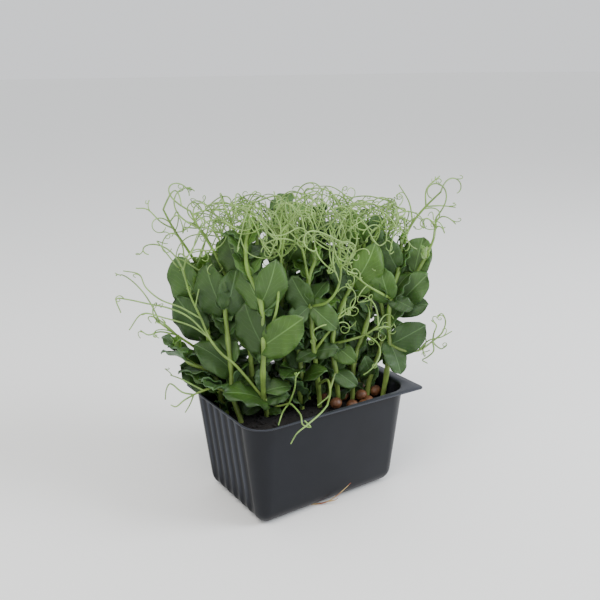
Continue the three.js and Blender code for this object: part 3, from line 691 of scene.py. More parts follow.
# A linear congruential generator with its usual constants.
DRAW_FACTOR = 1664525
DRAW_STEP = 1013904223
DRAW_RANGE = 2 ** 32


class Draws:
    """One seeded sequence of draws, so that the tray grows the same each time."""

    def __init__(self, seed):
        self.state = seed

    def draw(self, low, high):
        self.state = (self.state * DRAW_FACTOR + DRAW_STEP) % DRAW_RANGE
        return low + (high - low) * self.state / DRAW_RANGE


draw = Draws(20).draw


def turned(point):
    """From the frame that the main shoots are laid in, across, towards the viewer and up."""
    across, toward, up = point
    return np.array([
        across * math.cos(VIEW_TURN) + toward * math.sin(VIEW_TURN),
        across * math.sin(VIEW_TURN) - toward * math.cos(VIEW_TURN),
        up,
    ])


def unit(vector):
    return vector / math.sqrt(vector @ vector)


def direction(azimuth, lift):
    level = math.cos(lift)
    return np.array([math.cos(azimuth) * level, math.sin(azimuth) * level, math.sin(lift)])


def winding_line(start, heading, axis, length, turn):
    """A tendril leaves its stalk straight and winds ever tighter about an axis across its heading."""
    aside = np.cross(axis, heading)
    line = [start]
    for i in range(1, TENDRIL_STEPS + 1):
        angle = turn * ((i - 0.5) / TENDRIL_STEPS) ** 2
        way = heading * math.cos(angle) + aside * math.sin(angle) + axis * WINDING_RISE
        line.append(line[-1] + way * length / TENDRIL_STEPS)
    return line


def blade_root(joint, tip):
    outward = tip - joint
    outward[2] = 0
    return joint + unit(outward) * STEM_RADIUS[1] * 0.8


def blade_frame(blade):
    along = blade["tip"] - blade["root"]
    length = math.sqrt(along @ along)
    along = along / length
    normal = unit(blade["facing"] - along * (blade["facing"] @ along))
    return along, length, normal, np.cross(along, normal)


def edges_at(share):
    row = max(1, next(n for n, (at, _, _) in enumerate(BLADE_OUTLINE) if at >= share))
    low, inner_low, outer_low = BLADE_OUTLINE[row - 1]
    high, inner_high, outer_high = BLADE_OUTLINE[row]
    mix = (share - low) / (high - low)
    return inner_low + (inner_high - inner_low) * mix, outer_low + (outer_high - outer_low) * mix


placed = {}


def place(samples, shoot):
    for point, radius in samples:
        key = tuple(math.floor(value / CELL) for value in point)
        placed.setdefault(key, []).append((*point, radius, id(shoot)))


def is_clear(samples, shoot, clearance=CLEARANCE):
    own = id(shoot)
    for (x, y, z), radius in samples:
        i, j, k = math.floor(x / CELL), math.floor(y / CELL), math.floor(z / CELL)
        for n in range(27):
            key = (i + n % 3 - 1, j + n // 3 % 3 - 1, k + n // 9 - 1)
            for ox, oy, oz, other_radius, other in placed.get(key, ()):
                reach = radius + other_radius + clearance
                if other != own and (x - ox) ** 2 + (y - oy) ** 2 + (z - oz) ** 2 < reach * reach:
                    return False
    return True


def line_samples(line, radius):
    samples = []
    for start, end in zip(line, line[1:]):
        run = end - start
        count = math.ceil(math.sqrt(run @ run) / SAMPLE_STEP)
        samples += [(tuple(start + run * (n / count)), radius) for n in range(count)]
    return samples + [(tuple(line[-1]), radius)]


def blade_samples(blade):
    along, length, normal, side = blade_frame(blade)
    rows = math.ceil(length / SAMPLE_STEP)
    samples = []
    for row in range(rows + 1):
        share = row / rows
        inner, outer = edges_at(share)
        columns = math.ceil((inner + outer) * length / SAMPLE_STEP)
        for column in range(columns + 1):
            across = -inner + (inner + outer) * column / columns if columns else 0
            rise = (BLADE_ARCH * 4 * share * (1 - share) + BLADE_CUP * abs(across)) * length
            point = blade["root"] + along * share * length + side * across * length * blade["hand"]
            samples.append((tuple(point + normal * rise), BLADE_THICKNESS / 2))
    return samples


def is_in_reach(samples):
    """Under the crown's top and, low down, over the medium and inside the rim."""
    for (x, y, z), radius in samples:
        inward = INSIDE_RIM + radius
        beside = abs(x) >= RIM_LENGTH / 2 - inward or abs(y) >= RIM_WIDTH / 2 - inward
        if z >= CROWN_TOP or z <= TRAY_HEIGHT + ABOVE_RIM and (z <= MEDIUM_TOP or beside):
            return False
    return True


def first_clear(draw_piece, samples_of, shoot):
    for n in range(TRIES):
        piece = draw_piece(n)
        samples = samples_of(piece)
        if is_in_reach(samples) and is_clear(samples, shoot):
            place(samples, shoot)
            return piece
    return None


def draw_tendril(line, at, low=24, high=42, turns=(2.2, 5)):
    heading = unit(line[at] - line[at - 1])
    way = unit(heading + direction(draw(0, 2 * math.pi), draw(-0.6, 0.9)) * 0.8)
    axis = unit(np.cross(way, direction(draw(0, 2 * math.pi), draw(-1.2, 1.2))))
    return winding_line(line[at], way, axis, draw(low, high), draw(*turns))


def add_tendrils(shoot):
    for line, count in shoot["stalks"]:
        for n in range(count):
            at = len(line) - 1 - n % 2
            tendril = first_clear(
                lambda _: draw_tendril(line, at),
                lambda winding: line_samples(winding[::5], TENDRIL_RADIUS[0]),
                shoot,
            )
            if tendril:
                shoot["windings"].append(tendril)


def new_shoot(stem):
    return {"stem": stem, "blades": [], "stalks": [], "strands": [], "windings": []}


def grow_main_shoot(plan):
    stem = [turned(point) for point in plan["stem"]]
    shoot = new_shoot(stem)
    place(line_samples(stem, STEM_RADIUS[0]), shoot)
    for joint, tip, hand, facing in plan["blades"]:
        root = blade_root(stem[joint], turned(tip))
        blade = {"root": root, "tip": turned(tip), "hand": hand, "facing": turned(facing)}
        place(blade_samples(blade), shoot)
        shoot["blades"].append(blade)
    for joint, points, count, strands in plan["stalks"]:
        line = [stem[joint], *map(turned, points)]
        shoot["stalks"].append((line, count))
        place(line_samples(line, STALK_RADIUS[0]), shoot)
        for start, strand in strands:
            tendril = [line[start], *map(turned, strand)]
            shoot["strands"].append(tendril)
            place(line_samples(tendril, TENDRIL_RADIUS[0]), shoot)
    return shoot


def draw_foot(feet):
    best = None
    best_distance = 0
    for _ in range(TRIES):
        foot = np.array([draw(*FOOT_AREA[0]), draw(*FOOT_AREA[1]), MEDIUM_TOP + 1])
        distance = min(math.dist(foot, other) for other in feet)
        if distance > best_distance:
            best = foot
            best_distance = distance
    return best


def draw_stem(foot, heights):
    height = draw(*heights)
    lean = np.array([foot[0] / FOOT_AREA[0][1] * draw(8, 24), foot[1] / FOOT_AREA[1][1] * draw(6, 22), 0])
    points = [foot]
    for n in range(1, STEM_STEPS + 1):
        share = n / STEM_STEPS
        sway = np.array([draw(-4, 4), draw(-4, 4), height * share])
        points.append(sway + lean * share ** 1.5 + foot)
    return points


def draw_blade(shoot, joint, azimuth, hand, low, high, shorter):
    way = azimuth + hand * math.pi / 2 + draw(-0.6, 0.6)
    length = draw(low, high) * (1 - shorter / 30)
    tip = shoot["stem"][joint] + direction(way, draw(0.2, 1.1)) * length
    facing = direction(way + math.pi + draw(-0.7, 0.7), draw(0.5, 1.2))
    root = blade_root(shoot["stem"][joint], tip)
    return {"root": root, "tip": tip, "hand": hand, "facing": facing}


def add_pairs(shoot, pairs):
    """Each pair is given as its joint, how far it is turned from the shoot's lean, and its blades'
    least and greatest length."""
    for joint, turn, low, high in pairs:
        azimuth = shoot["azimuth"] + turn
        for hand in (1, -1):
            blade = first_clear(
                lambda n: draw_blade(shoot, joint, azimuth, hand, low, high, n), blade_samples, shoot
            )
            if blade:
                shoot["blades"].append(blade)


def draw_stalk(root, azimuth):
    outward = direction(azimuth + draw(-0.8, 0.8), draw(0.5, 1))
    tip = root + outward * draw(26, 40)
    bow = (root + tip) / 2
    bow[2] -= draw(1, 5)
    return [root, bow, tip]


def add_stalk(shoot, joint, azimuth):
    line = first_clear(
        lambda _: draw_stalk(shoot["stem"][joint], azimuth),
        lambda stalk: line_samples(stalk, STALK_RADIUS[0]),
        shoot,
    )
    if line:
        shoot["stalks"].append((line, 1))


def add_stems(count, heights, feet):
    """So many more stems, each turned the way that it leans."""
    added = []
    for _ in range(3 * count):
        if len(added) == count:
            break
        foot = draw_foot(feet)
        shoot = new_shoot(None)
        shoot["stem"] = first_clear(
            lambda _: draw_stem(foot, heights), lambda line: line_samples(line, STEM_RADIUS[0]), shoot
        )
        if shoot["stem"]:
            top = shoot["stem"][STEM_STEPS]
            shoot["azimuth"] = math.atan2(top[1], top[0]) + draw(-0.5, 0.5)
            feet.append(foot)
            added.append(shoot)
    return added


def grow_shoots():
    shoots = [grow_main_shoot(plan) for plan in MAIN_SHOOTS]
    for shoot in shoots:
        add_tendrils(shoot)
    feet = [shoot["stem"][0] for shoot in shoots]
    others = add_stems(OTHER_SHOOTS, OTHER_HEIGHT, feet)
    for shoot in others:
        add_pairs(shoot, OTHER_PAIRS)
    for shoot in others:
        for joint, turn in OTHER_STALKS:
            add_stalk(shoot, joint, shoot["azimuth"] + turn)
    for shoot in others:
        add_tendrils(shoot)
    young = add_stems(YOUNG_SHOOTS, YOUNG_HEIGHT, feet)
    for shoot in young:
        add_pairs(shoot, YOUNG_PAIRS)
    return shoots + others + young


def draw_seeds(feet):
    seeds = []
    room = SEED_RADIUS + STEM_RADIUS[0] + 1
    for _ in range(SEED_TRIES):
        if len(seeds) == SEEDS_AT_RIGHT + SEEDS_AT_BACK:
            break
        area = SEED_AREA_RIGHT if len(seeds) < SEEDS_AT_RIGHT else SEED_AREA_BACK
        seed = np.array([draw(*area[0]), draw(*area[1]), MEDIUM_TOP + 1])
        turn = draw(0, math.pi)
        clear_of_stems = all(math.dist(foot, seed) > room for foot in feet)
        spacing = SEED_SPACING * SEED_RADIUS
        if clear_of_stems and all(math.dist(other, seed) > spacing for other, _ in seeds):
            seeds.append((seed, turn))
    return seeds


shoots = grow_shoots()
feet = [shoot["stem"][0] for shoot in shoots]
seeds = draw_seeds(feet)


# Stems and leaf stalks: hollow, smooth and a little waxy, with a swelling at each joint. A stem comes
# up through the growing medium from the pea that it grew from.
SWELLING = 0.3
SWELLING_REACH = 1.3  # in steps of the smooth line
STEM_DRIFT = 9.09
STEM_SKIN = 0.714  # finer on a real one, and drawn as coarse as it needs to show


def smooth_line(points, between=6):
    """A smooth curve through the points, with so many steps from each to the next."""
    points = [np.asarray(point, dtype=float) for point in points]
    padded = [2 * points[0] - points[1], *points, 2 * points[-1] - points[-2]]
    line = []
    for before, start, end, after in zip(padded, padded[1:], padded[2:], padded[3:]):
        for step in range(between):
            t = step / between
            pull = (end - before) * (t - 2 * t ** 2 + t ** 3) + (after - start) * (t ** 3 - t ** 2)
            line.append(start + (end - start) * (3 * t ** 2 - 2 * t ** 3) + pull / 2)
    return line + [points[-1]]


def taper(line, radii, swellings=()):
    """The radius at each point of a line, from one end's to the other's, more at its joints."""
    shares = np.linspace(0, 1, len(line))
    sizes = radii[0] + (radii[1] - radii[0]) * shares
    for joint in swellings:
        sizes += SWELLING * np.exp(-(((np.arange(len(line)) - joint) / SWELLING_REACH) ** 2))
    return sizes


def tubes_mesh(name, tubes, roundness):
    """One mesh of tubes with closed ends, each given as its points and its radius at each."""
    curve = bpy.data.curves.new(name, "CURVE")
    curve.dimensions = "3D"
    curve.bevel_depth = MM
    curve.bevel_resolution = roundness
    curve.use_fill_caps = True
    for line, radii in tubes:
        spline = curve.splines.new("POLY")
        spline.points.add(len(line) - 1)
        spline.points.foreach_set("co", np.c_[np.array(line) * MM, np.ones(len(line))].ravel())
        spline.points.foreach_set("radius", radii)
    holder = bpy.data.objects.new(name, curve)
    mesh = bpy.data.meshes.new_from_object(holder)
    mesh.name = name
    bpy.data.objects.remove(holder)
    bpy.data.curves.remove(curve)
    return mesh


def green_stalk(name, low_colour, high_colour, roughness):
    """Young pea stem or tendril: smooth skin under a thin wax, of one colour low in the stand's shade
    and another above it. The colour drifts a little along it and some light passes through."""
    material, shader = new_material(name)
    place = add_node(material, "ShaderNodeTexCoord", {}, {}).outputs["Object"]
    height = add_node(material, "ShaderNodeSeparateXYZ", {}, {"Vector": place}).outputs["Z"]
    rising = add_node(
        material,
        "ShaderNodeMapRange",
        {},
        {"Value": height, "From Min": 50 * MM, "From Max": 120 * MM},
    )
    mixed = add_node(
        material,
        "ShaderNodeMix",
        {"data_type": "RGBA"},
        {"Factor": rising.outputs["Result"], "A": colour(low_colour), "B": colour(high_colour)},
    )
    drift = add_node(
        material,
        "ShaderNodeTexNoise",
        {},
        {"Vector": place, "Scale": pattern_scale(STEM_DRIFT), "Detail": 3},
    )
    shade = add_node(
        material,
        "ShaderNodeMapRange",
        {},
        {"Value": drift.outputs["Fac"], "From Min": 0.3, "From Max": 0.7, "To Min": 0.65, "To Max": 1.3},
    )
    varied = add_node(
        material,
        "ShaderNodeHueSaturation",
        {},
        {"Color": mixed.outputs["Result"], "Value": shade.outputs["Result"]},
    )
    wire(material, varied.outputs["Color"], shader.inputs["Base Color"])
    skin_noise = add_node(
        material,
        "ShaderNodeTexNoise",
        {},
        {"Vector": place, "Scale": pattern_scale(STEM_SKIN), "Detail": 2},
    )
    bump = add_node(
        material,
        "ShaderNodeBump",
        {},
        {"Height": skin_noise.outputs["Fac"], "Strength": 0.2, "Distance": 0.1 * MM},
    )
    wire(material, bump.outputs["Normal"], shader.inputs["Normal"])
    shader.inputs["Roughness"].default_value = roughness
    shader.inputs["Subsurface Weight"].default_value = 0.15
    shader.inputs["Subsurface Radius"].default_value = (0.4, 1.0, 0.2)
    shader.inputs["Subsurface Scale"].default_value = 0.8 * MM
    return material


JOINT_STEPS = 6


def node_name(number):
    return f"pea_shoot_{number:02d}"


stem_green = green_stalk("young pea stem", "#7f974c", "#6e8e3e", 0.4)
for number, shoot in enumerate(shoots, 1):
    foot = shoot["stem"][0].copy()
    foot[2] = MEDIUM_TOP - ROOTING_DEPTH
    line = smooth_line([foot, *shoot["stem"]], JOINT_STEPS)
    joints = [JOINT_STEPS * n for n in range(2, len(shoot["stem"]))]
    shoot["smooth_stem"] = line
    shoot["smooth_stalks"] = [smooth_line(stalk) for stalk, _ in shoot["stalks"]]
    tubes = [(line, taper(line, STEM_RADIUS, joints))]
    tubes += [(stalk, taper(stalk, STALK_RADIUS)) for stalk in shoot["smooth_stalks"]]
    stem = new_piece(f"stem_{number:02d}", tubes_mesh("stem", tubes, 2), stem_green)
    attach(stem, "root")
    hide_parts(node_name(number))


# Stipules: the broad leafy wings that clasp the stem at each joint, half heart-shaped, thin and waxy.
# Small ones grow low on the stem, and the youngest are still folded at its tip.
# From a finished stipule's root to its tip: the share of its length, and how far its inner and its
# outer edge are from the midrib.
BLADE_WIDTHS = (
    (0, 0.05, 0.12, 0.22, 0.35, 0.5, 0.65, 0.8, 0.9, 0.96, 1),
    (0.03, 0.13, 0.2, 0.26, 0.3, 0.31, 0.295, 0.24, 0.175, 0.115, 0.008),
    (0.12, 0.28, 0.35, 0.395, 0.405, 0.395, 0.36, 0.285, 0.205, 0.13, 0.008),
)
BLADE_ROWS = 16
BLADE_COLUMNS = 8
SKIN_THICKNESS = 0.4
FINE_SETBACK = 0.16  # how far the outer lobe reaches back past the root
RIPPLE = 0.06
VEINS = 6  # the side veins of a blade's half
VEIN_SLANT = 1.7
BLADE_DROOP = 0.35  # how far a half bends down again towards its edge
VEIN_WANDER = 3.33
LEAF_BLOTCH = 11.1
LEAF_SKIN = 0.769  # finer on a real one, and drawn as coarse as it needs to show
# The finer pairs: how far up the stem, and the least and the greatest length of their blades.
FRONT_PAIRS = (
    (0.1, 6, 9), (0.2, 9, 13), (0.3, 12, 18), (0.39, 14, 20), (0.48, 14, 22), (0.57, 14, 22),
    (0.66, 14, 22), (0.75, 13, 20), (0.84, 12, 18), (0.92, 9, 14),
)
BACK_PAIRS = (
    (0.1, 7, 11), (0.21, 9, 14), (0.32, 12, 18), (0.43, 14, 21), (0.54, 15, 23), (0.65, 15, 24),
    (0.77, 14, 22), (0.89, 11, 17),
)
FRONT_SPREAD = 0.8  # the front shoots turn their finer stipules to the back, into the stand's shade
BACK_SPREAD = math.pi / 2
BUD_BLADES = 3
NEAR = 0.3  # how near the finer growth may come to its neighbours

# The finer growth has draws of its own.
draw = Draws(7).draw


def add_blade(bm, blade):
    """Two grids, the upper and the under skin, drawn to the blade's outline and joined at the edge. The
    UV map holds how far along the side veins a point is and how far from the midrib."""
    along, length, normal, side = blade_frame(blade)
    wave = draw(0, 2 * math.pi)
    waves = draw(9, 20)
    roll = draw(-0.6, 2)
    cup = BLADE_CUP * draw(0.7, 1.6)
    bloom = draw(0, 0.45)
    youth = draw(0, 1)
    rims = []
    for under in (0, 1):
        grid = bmesh.ops.create_grid(bm, x_segments=BLADE_COLUMNS, y_segments=BLADE_ROWS, size=0.5)
        faces = {face for vert in grid["verts"] for face in vert.link_faces}
        veins = {}
        for vert in grid["verts"]:
            share = vert.co.y + 0.5
            half = vert.co.x * 2 * blade["hand"]
            across = half * np.interp(share, BLADE_WIDTHS[0], BLADE_WIDTHS[2 if half > 0 else 1])
            setback = FINE_SETBACK * max(half, 0) ** 1.5 * max(1 - 2.2 * share, 0) ** 1.5
            ripple = RIPPLE * math.sin(waves * share + wave + 2 * half) * half ** 2
            arch = BLADE_ARCH * (4 * share * (1 - share) - roll * share ** 3)
            rise = arch + cup * abs(across) + ripple - BLADE_DROOP * across ** 2
            point = (
                blade["root"]
                + along * (share - setback) * length
                + side * across * length * blade["hand"]
                + normal * (rise * length - under * SKIN_THICKNESS)
            )
            veins[vert] = (VEINS * (share - VEIN_SLANT * abs(across)), abs(across))
            vert.co = Vector(point) * MM
            vert[bm.verts.layers.float["bloom"]] = 1 if under else bloom
            vert[bm.verts.layers.float["youth"]] = youth
        for face in faces:
            for loop in face.loops:
                loop[bm.loops.layers.uv["UVMap"]].uv = veins[loop.vert]
        rims += [edge for face in faces for edge in face.edges if edge.is_boundary]
        if under:
            bmesh.ops.reverse_faces(bm, faces=list(faces))
    bmesh.ops.bridge_loops(bm, edges=list(set(rims)))


def stipules_mesh(blades):
    bm = bmesh.new()
    bm.loops.layers.uv.new("UVMap")
    bm.verts.layers.float.new("bloom")
    bm.verts.layers.float.new("youth")
    for blade in blades:
        add_blade(bm, blade)
    return finished_mesh("stipules", bm)


def pea_leaf(name, mature, young, bloomed):
    """Pea stipule: a thin waxy leaf, yellower while it is young, greyer where the bloom is thick, as it
    is below. The midrib and the veins that arch from it are paler and sunken."""
    material, shader = new_material(name)
    place = add_node(material, "ShaderNodeTexCoord", {}, {}).outputs["Object"]
    bloom = add_node(material, "ShaderNodeAttribute", {"attribute_name": "bloom"}, {}).outputs["Fac"]
    youth = add_node(material, "ShaderNodeAttribute", {"attribute_name": "youth"}, {}).outputs["Fac"]
    uv = add_node(material, "ShaderNodeUVMap", {"uv_map": "UVMap"}, {})
    split = add_node(material, "ShaderNodeSeparateXYZ", {}, {"Vector": uv.outputs["UV"]})
    wander = add_node(
        material,
        "ShaderNodeTexNoise",
        {},
        {"Vector": place, "Scale": pattern_scale(VEIN_WANDER), "Detail": 2},
    )
    shaken = add_node(
        material, "ShaderNodeMath", {"operation": "ADD"}, {0: split.outputs["X"], 1: wander.outputs["Fac"]}
    )
    stripe = add_node(material, "ShaderNodeMath", {"operation": "PINGPONG"}, {0: shaken.outputs[0], 1: 0.5})
    side_vein = add_node(
        material,
        "ShaderNodeMapRange",
        {"interpolation_type": "SMOOTHSTEP"},
        {"Value": stripe.outputs[0], "From Min": 0.0, "From Max": 0.07, "To Min": 0.3, "To Max": 0.0},
    )
    midrib = add_node(
        material,
        "ShaderNodeMapRange",
        {"interpolation_type": "SMOOTHSTEP"},
        {"Value": split.outputs["Y"], "From Min": 0.004, "From Max": 0.02, "To Min": 0.8, "To Max": 0.0},
    )
    veins = add_node(
        material,
        "ShaderNodeMath",
        {"operation": "MAXIMUM"},
        {0: side_vein.outputs["Result"], 1: midrib.outputs["Result"]},
    ).outputs[0]
    blotch = add_node(
        material,
        "ShaderNodeTexNoise",
        {},
        {"Vector": place, "Scale": pattern_scale(LEAF_BLOTCH), "Detail": 3},
    )
    height = add_node(material, "ShaderNodeSeparateXYZ", {}, {"Vector": place}).outputs["Z"]
    higher = add_node(
        material,
        "ShaderNodeMath",
        {"operation": "MULTIPLY_ADD"},
        {0: height, 1: 9.0, 2: blotch.outputs["Fac"]},
    )
    younger = add_node(
        material, "ShaderNodeMath", {"operation": "ADD"}, {0: higher.outputs[0], 1: youth}
    )
    freshness = add_node(
        material, "ShaderNodeMapRange", {}, {"Value": younger.outputs[0], "From Min": 1.7, "From Max": 3.1}
    )
    top = add_node(
        material,
        "ShaderNodeMix",
        {"data_type": "RGBA"},
        {"Factor": freshness.outputs["Result"], "A": colour(mature), "B": colour(young)},
    )
    both = add_node(
        material,
        "ShaderNodeMix",
        {"data_type": "RGBA"},
        {"Factor": bloom, "A": top.outputs["Result"], "B": colour(bloomed)},
    )
    paler = add_node(
        material,
        "ShaderNodeHueSaturation",
        {},
        {"Color": both.outputs["Result"], "Saturation": 0.85, "Value": 2.2, "Fac": veins},
    )
    wire(material, paler.outputs["Color"], shader.inputs["Base Color"])
    fine = add_node(
        material,
        "ShaderNodeTexNoise",
        {},
        {"Vector": place, "Scale": pattern_scale(LEAF_SKIN), "Detail": 2},
    )
    relief = add_node(
        material,
        "ShaderNodeMath",
        {"operation": "MULTIPLY_ADD"},
        {0: fine.outputs["Fac"], 1: 0.4, 2: 1.0},
    )
    sunken = add_node(
        material, "ShaderNodeMath", {"operation": "SUBTRACT"}, {0: relief.outputs[0], 1: veins}
    )
    bump = add_node(
        material,
        "ShaderNodeBump",
        {},
        {"Height": sunken.outputs[0], "Strength": 0.5, "Distance": 0.25 * MM},
    )
    wire(material, bump.outputs["Normal"], shader.inputs["Normal"])
    shader.inputs["Roughness"].default_value = 0.46
    shader.inputs["Specular IOR Level"].default_value = 0.35
    shader.inputs["Subsurface Weight"].default_value = 0.2
    shader.inputs["Subsurface Radius"].default_value = (0.4, 1.0, 0.1)
    shader.inputs["Subsurface Scale"].default_value = 0.8 * MM
    return material


def point_on(line, share):
    at = share * (len(line) - 1)
    low = min(int(at), len(line) - 2)
    return line[low] + (line[low + 1] - line[low]) * (at - low)


def draw_fine_blade(joint, way, hand, low, high):
    way += draw(-0.7, 0.7)
    tip = joint + direction(way, draw(0, 1.1)) * draw(low, high)
    facing = direction(way + math.pi + draw(-0.7, 0.7), draw(0.3, 1.2))
    return {"root": blade_root(joint, tip), "tip": tip, "hand": hand, "facing": facing}


def first_near(draw_one, samples_of, shoot):
    """As first_clear, for the finer growth, which may come closer to its neighbours."""
    for _ in range(2 * TRIES):
        piece = draw_one()
        samples = samples_of(piece)
        if is_in_reach(samples) and is_clear(samples, shoot, NEAR):
            place(samples, shoot)
            return piece
    return None


def fine_blades(shoot, pairs, azimuth, turn, spread):
    blades = []
    for share, low, high in pairs:
        azimuth += draw(0.6, 1) * turn
        joint = point_on(shoot["smooth_stem"], share + draw(-0.04, 0.04))
        for hand in (1, -1):
            way = azimuth + hand * spread
            blade = first_near(
                lambda: draw_fine_blade(joint, way, hand, low, high), blade_samples, shoot
            )
            if blade:
                blades.append(blade)
    return blades


def bud_blades(shoot):
    """The folded young blades round a stem's tip."""
    tip = shoot["stem"][-1]
    blades = []
    for n in range(BUD_BLADES):
        way = draw(0, 1) + n * 2 * math.pi / BUD_BLADES
        end = tip + direction(way, draw(1.1, 1.4)) * draw(4.5, 7.5)
        facing = direction(way + math.pi, 0.3)
        blades.append({"root": blade_root(tip, end), "tip": end, "hand": 1, "facing": facing})
    return blades


leaf_green = pea_leaf("pea stipule", "#26400f", "#567d29", "#4c6944")
young_green = pea_leaf("young pea stipule", "#5d8a2f", "#78a23a", "#7c9a5b")
for number, shoot in enumerate(shoots, 1):
    if number <= len(MAIN_SHOOTS):
        fine = fine_blades(shoot, FRONT_PAIRS, math.pi / 2 + VIEW_TURN, 0, FRONT_SPREAD)
    else:
        fine = fine_blades(shoot, BACK_PAIRS, draw(0, 2 * math.pi), 2, BACK_SPREAD)
    mesh = stipules_mesh(shoot["blades"] + fine)
    stipules = new_piece(f"stipules_{number:02d}", mesh, leaf_green)
    bud = new_piece(f"bud_{number:02d}", stipules_mesh(bud_blades(shoot)), young_green)
    for piece in (stipules, bud):
        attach(piece, "root")
        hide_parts(node_name(number))


# Tendrils: what the leaves of this pea have turned into. They branch from the ends of the leaf
# stalks, coil where they touch nothing, and lie over each other in a loose mat on top of the stand.
TENDRIL_ROUNDNESS = 1
SPRAY_TENDRILS = 4
SPRAY_BASE = 70  # a leaf stalk that ends lower than this bears no more tendrils than the plan gives it
SPRAY_LENGTH = (16, 32)
SPRAY_RADIUS = (0.42, 0.24)
FORK_LENGTH = (7, 16)
FORK_RADIUS = (0.32, 0.2)
MAT_TENDRILS = 290
MAT_STEPS = 34
MAT_RADIUS = (0.42, 0.26)
MAT_TOP = 160
MAT_FALL = 0.0055  # how the mat's level falls off with the square of the distance from its middle
MAT_ROOTS_FROM = 126  # the mat springs from the tendrils between these two heights
MAT_ROOTS_TO = 164
MAT_ROOTS_WITHIN = 70
CROWN_REACH = 82
CROWN_FALL = 0.002


def tangled_line(start, way, sink, length, bend, coil):
    """A tendril of the mat: it arcs over and comes to rest so far below the mat's middle, in a coil."""
    line = [start]
    axis = direction(draw(0, 2 * math.pi), draw(-0.8, 0.8))
    for i in range(MAT_STEPS):
        share = i / MAT_STEPS
        axis = unit(axis + np.array([draw(-0.25, 0.25), draw(-0.25, 0.25), draw(-0.25, 0.25)]))
        turn = bend + coil * max(share - 0.55, 0) / 0.45
        x, y, z = line[-1]
        level = MAT_TOP - sink - MAT_FALL * (x * x + y * y)
        steer = min(max((level - z) * 0.012, -0.12), 0.12)
        way = unit(way + np.cross(axis, way) * turn + np.array([0, 0, steer]))
        line.append(line[-1] + way * (1 - 0.5 * share) * length / MAT_STEPS)
    return line


def mat_tendril(roots):
    root = roots[int(draw(0, len(roots)))]
    inward = math.atan2(-root[1], -root[0]) + draw(-2.2, 2.2)
    way = direction(inward, draw(-0.3, 1.2))
    sink = draw(-15, 6) if draw(0, 1) < 0.9 else draw(6, 34)
    return tangled_line(root, way, sink, draw(30, 72), draw(0.02, 0.13), draw(0.1, 0.5))


def is_in_crown(line):
    """Within the dome that the stand's top makes, and no further out than the solids reach."""
    return all(
        z < CROWN_TOP - 4 - (x * x + y * y) * CROWN_FALL
        and x * x + y * y < CROWN_REACH ** 2
        and cad_low[0] < x * MM < cad_high[0]
        and cad_low[1] < y * MM < cad_high[1]
        for x, y, z in line
    )


def spray_tendril(line, low, high):
    at = len(line) - 1 - int(draw(0, 0.45) * len(line))
    return draw_tendril(line, at, low, high, (4, 9))


def is_mat_root(point):
    return MAT_ROOTS_FROM < point[2] < MAT_ROOTS_TO and math.hypot(*point[:2]) < MAT_ROOTS_WITHIN


tendril_green = green_stalk("pea tendril", "#7a994f", "#82a157", 0.45)
roots = []
for number, shoot in enumerate(shoots, 1):
    tendrils = [(line, TENDRIL_RADIUS) for line in map(smooth_line, shoot["strands"])]
    tendrils += [(line, TENDRIL_RADIUS) for line in shoot["windings"]]
    for line in shoot["smooth_stalks"]:
        if line[-1][2] > SPRAY_BASE:
            drawn = [spray_tendril(line, *SPRAY_LENGTH) for _ in range(SPRAY_TENDRILS)]
            tendrils += [(winding, SPRAY_RADIUS) for winding in drawn if is_in_crown(winding)]
    for line, _ in list(tendrils):
        if line[-1][2] > SPRAY_BASE:
            tendrils.append((spray_tendril(line, *FORK_LENGTH), FORK_RADIUS))
        roots += filter(is_mat_root, line)
    if tendrils:
        tubes = [(line, taper(line, radii)) for line, radii in tendrils]
        mesh = tubes_mesh("tendrils", tubes, TENDRIL_ROUNDNESS)
        curls = new_piece(f"tendrils_{number:02d}", mesh, tendril_green)
        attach(curls, "root")
        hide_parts(node_name(number))

mat_lines = [line for line in (mat_tendril(roots) for _ in range(MAT_TENDRILS)) if is_in_crown(line)]
mat_tubes = [(line, taper(line, MAT_RADIUS)) for line in mat_lines]
mat = new_piece("tendril_mat", tubes_mesh("tendril_mat", mat_tubes, TENDRIL_ROUNDNESS), tendril_green)
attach(mat, "root")


# Growing medium: a block of dark, damp coir that was filled in loose and that the roots have bound
# since. Its top is uneven, and crumbs that the watering has washed loose lie on it.
MEDIUM_GAP = 0.3  # between the block and the tray
MEDIUM_HEIGHTS = (12, 20, 34, MEDIUM_TOP - 1, MEDIUM_TOP)
MEDIUM_SHARES = (0.9, 0.75, 0.6, 0.45, 0.3, 0.15)  # the rings across its top
MEDIUM_ROLL = 0.35  # the height of the gentle waves in its top
MEDIUM_WAVES = (410, 530)  # how close they lie, in radians per metre
CRUMBS = 700
CRUMB_AREA = ((-46, 46), (-31, 31))
CRUMB_RADIUS = (0.4, 1.5)
COIR_CRUMB = 2.38


def damp_coir():
    """Coir and peat, soaked: almost black, matt and crumbly, with a brown tinge here and there."""
    material, shader = new_material("damp coir")
    place = add_node(material, "ShaderNodeTexCoord", {}, {}).outputs["Object"]
    crumb = add_node(
        material,
        "ShaderNodeTexNoise",
        {},
        {"Vector": place, "Scale": pattern_scale(COIR_CRUMB), "Detail": 6},
    )
    tint = add_node(material, "ShaderNodeValToRGB", {}, {"Fac": crumb.outputs["Fac"]})
    tint.color_ramp.elements[0].position = 0.35
    tint.color_ramp.elements[0].color = colour("#060505")
    tint.color_ramp.elements[1].position = 0.72
    tint.color_ramp.elements[1].color = colour("#18120e")
    wire(material, tint.outputs["Color"], shader.inputs["Base Color"])
    shader.inputs["Roughness"].default_value = 0.85
    bump = add_node(
        material,
        "ShaderNodeBump",
        {},
        {"Height": crumb.outputs["Fac"], "Strength": 0.8, "Distance": 0.8 * MM},
    )
    wire(material, bump.outputs["Normal"], shader.inputs["Normal"])
    return material


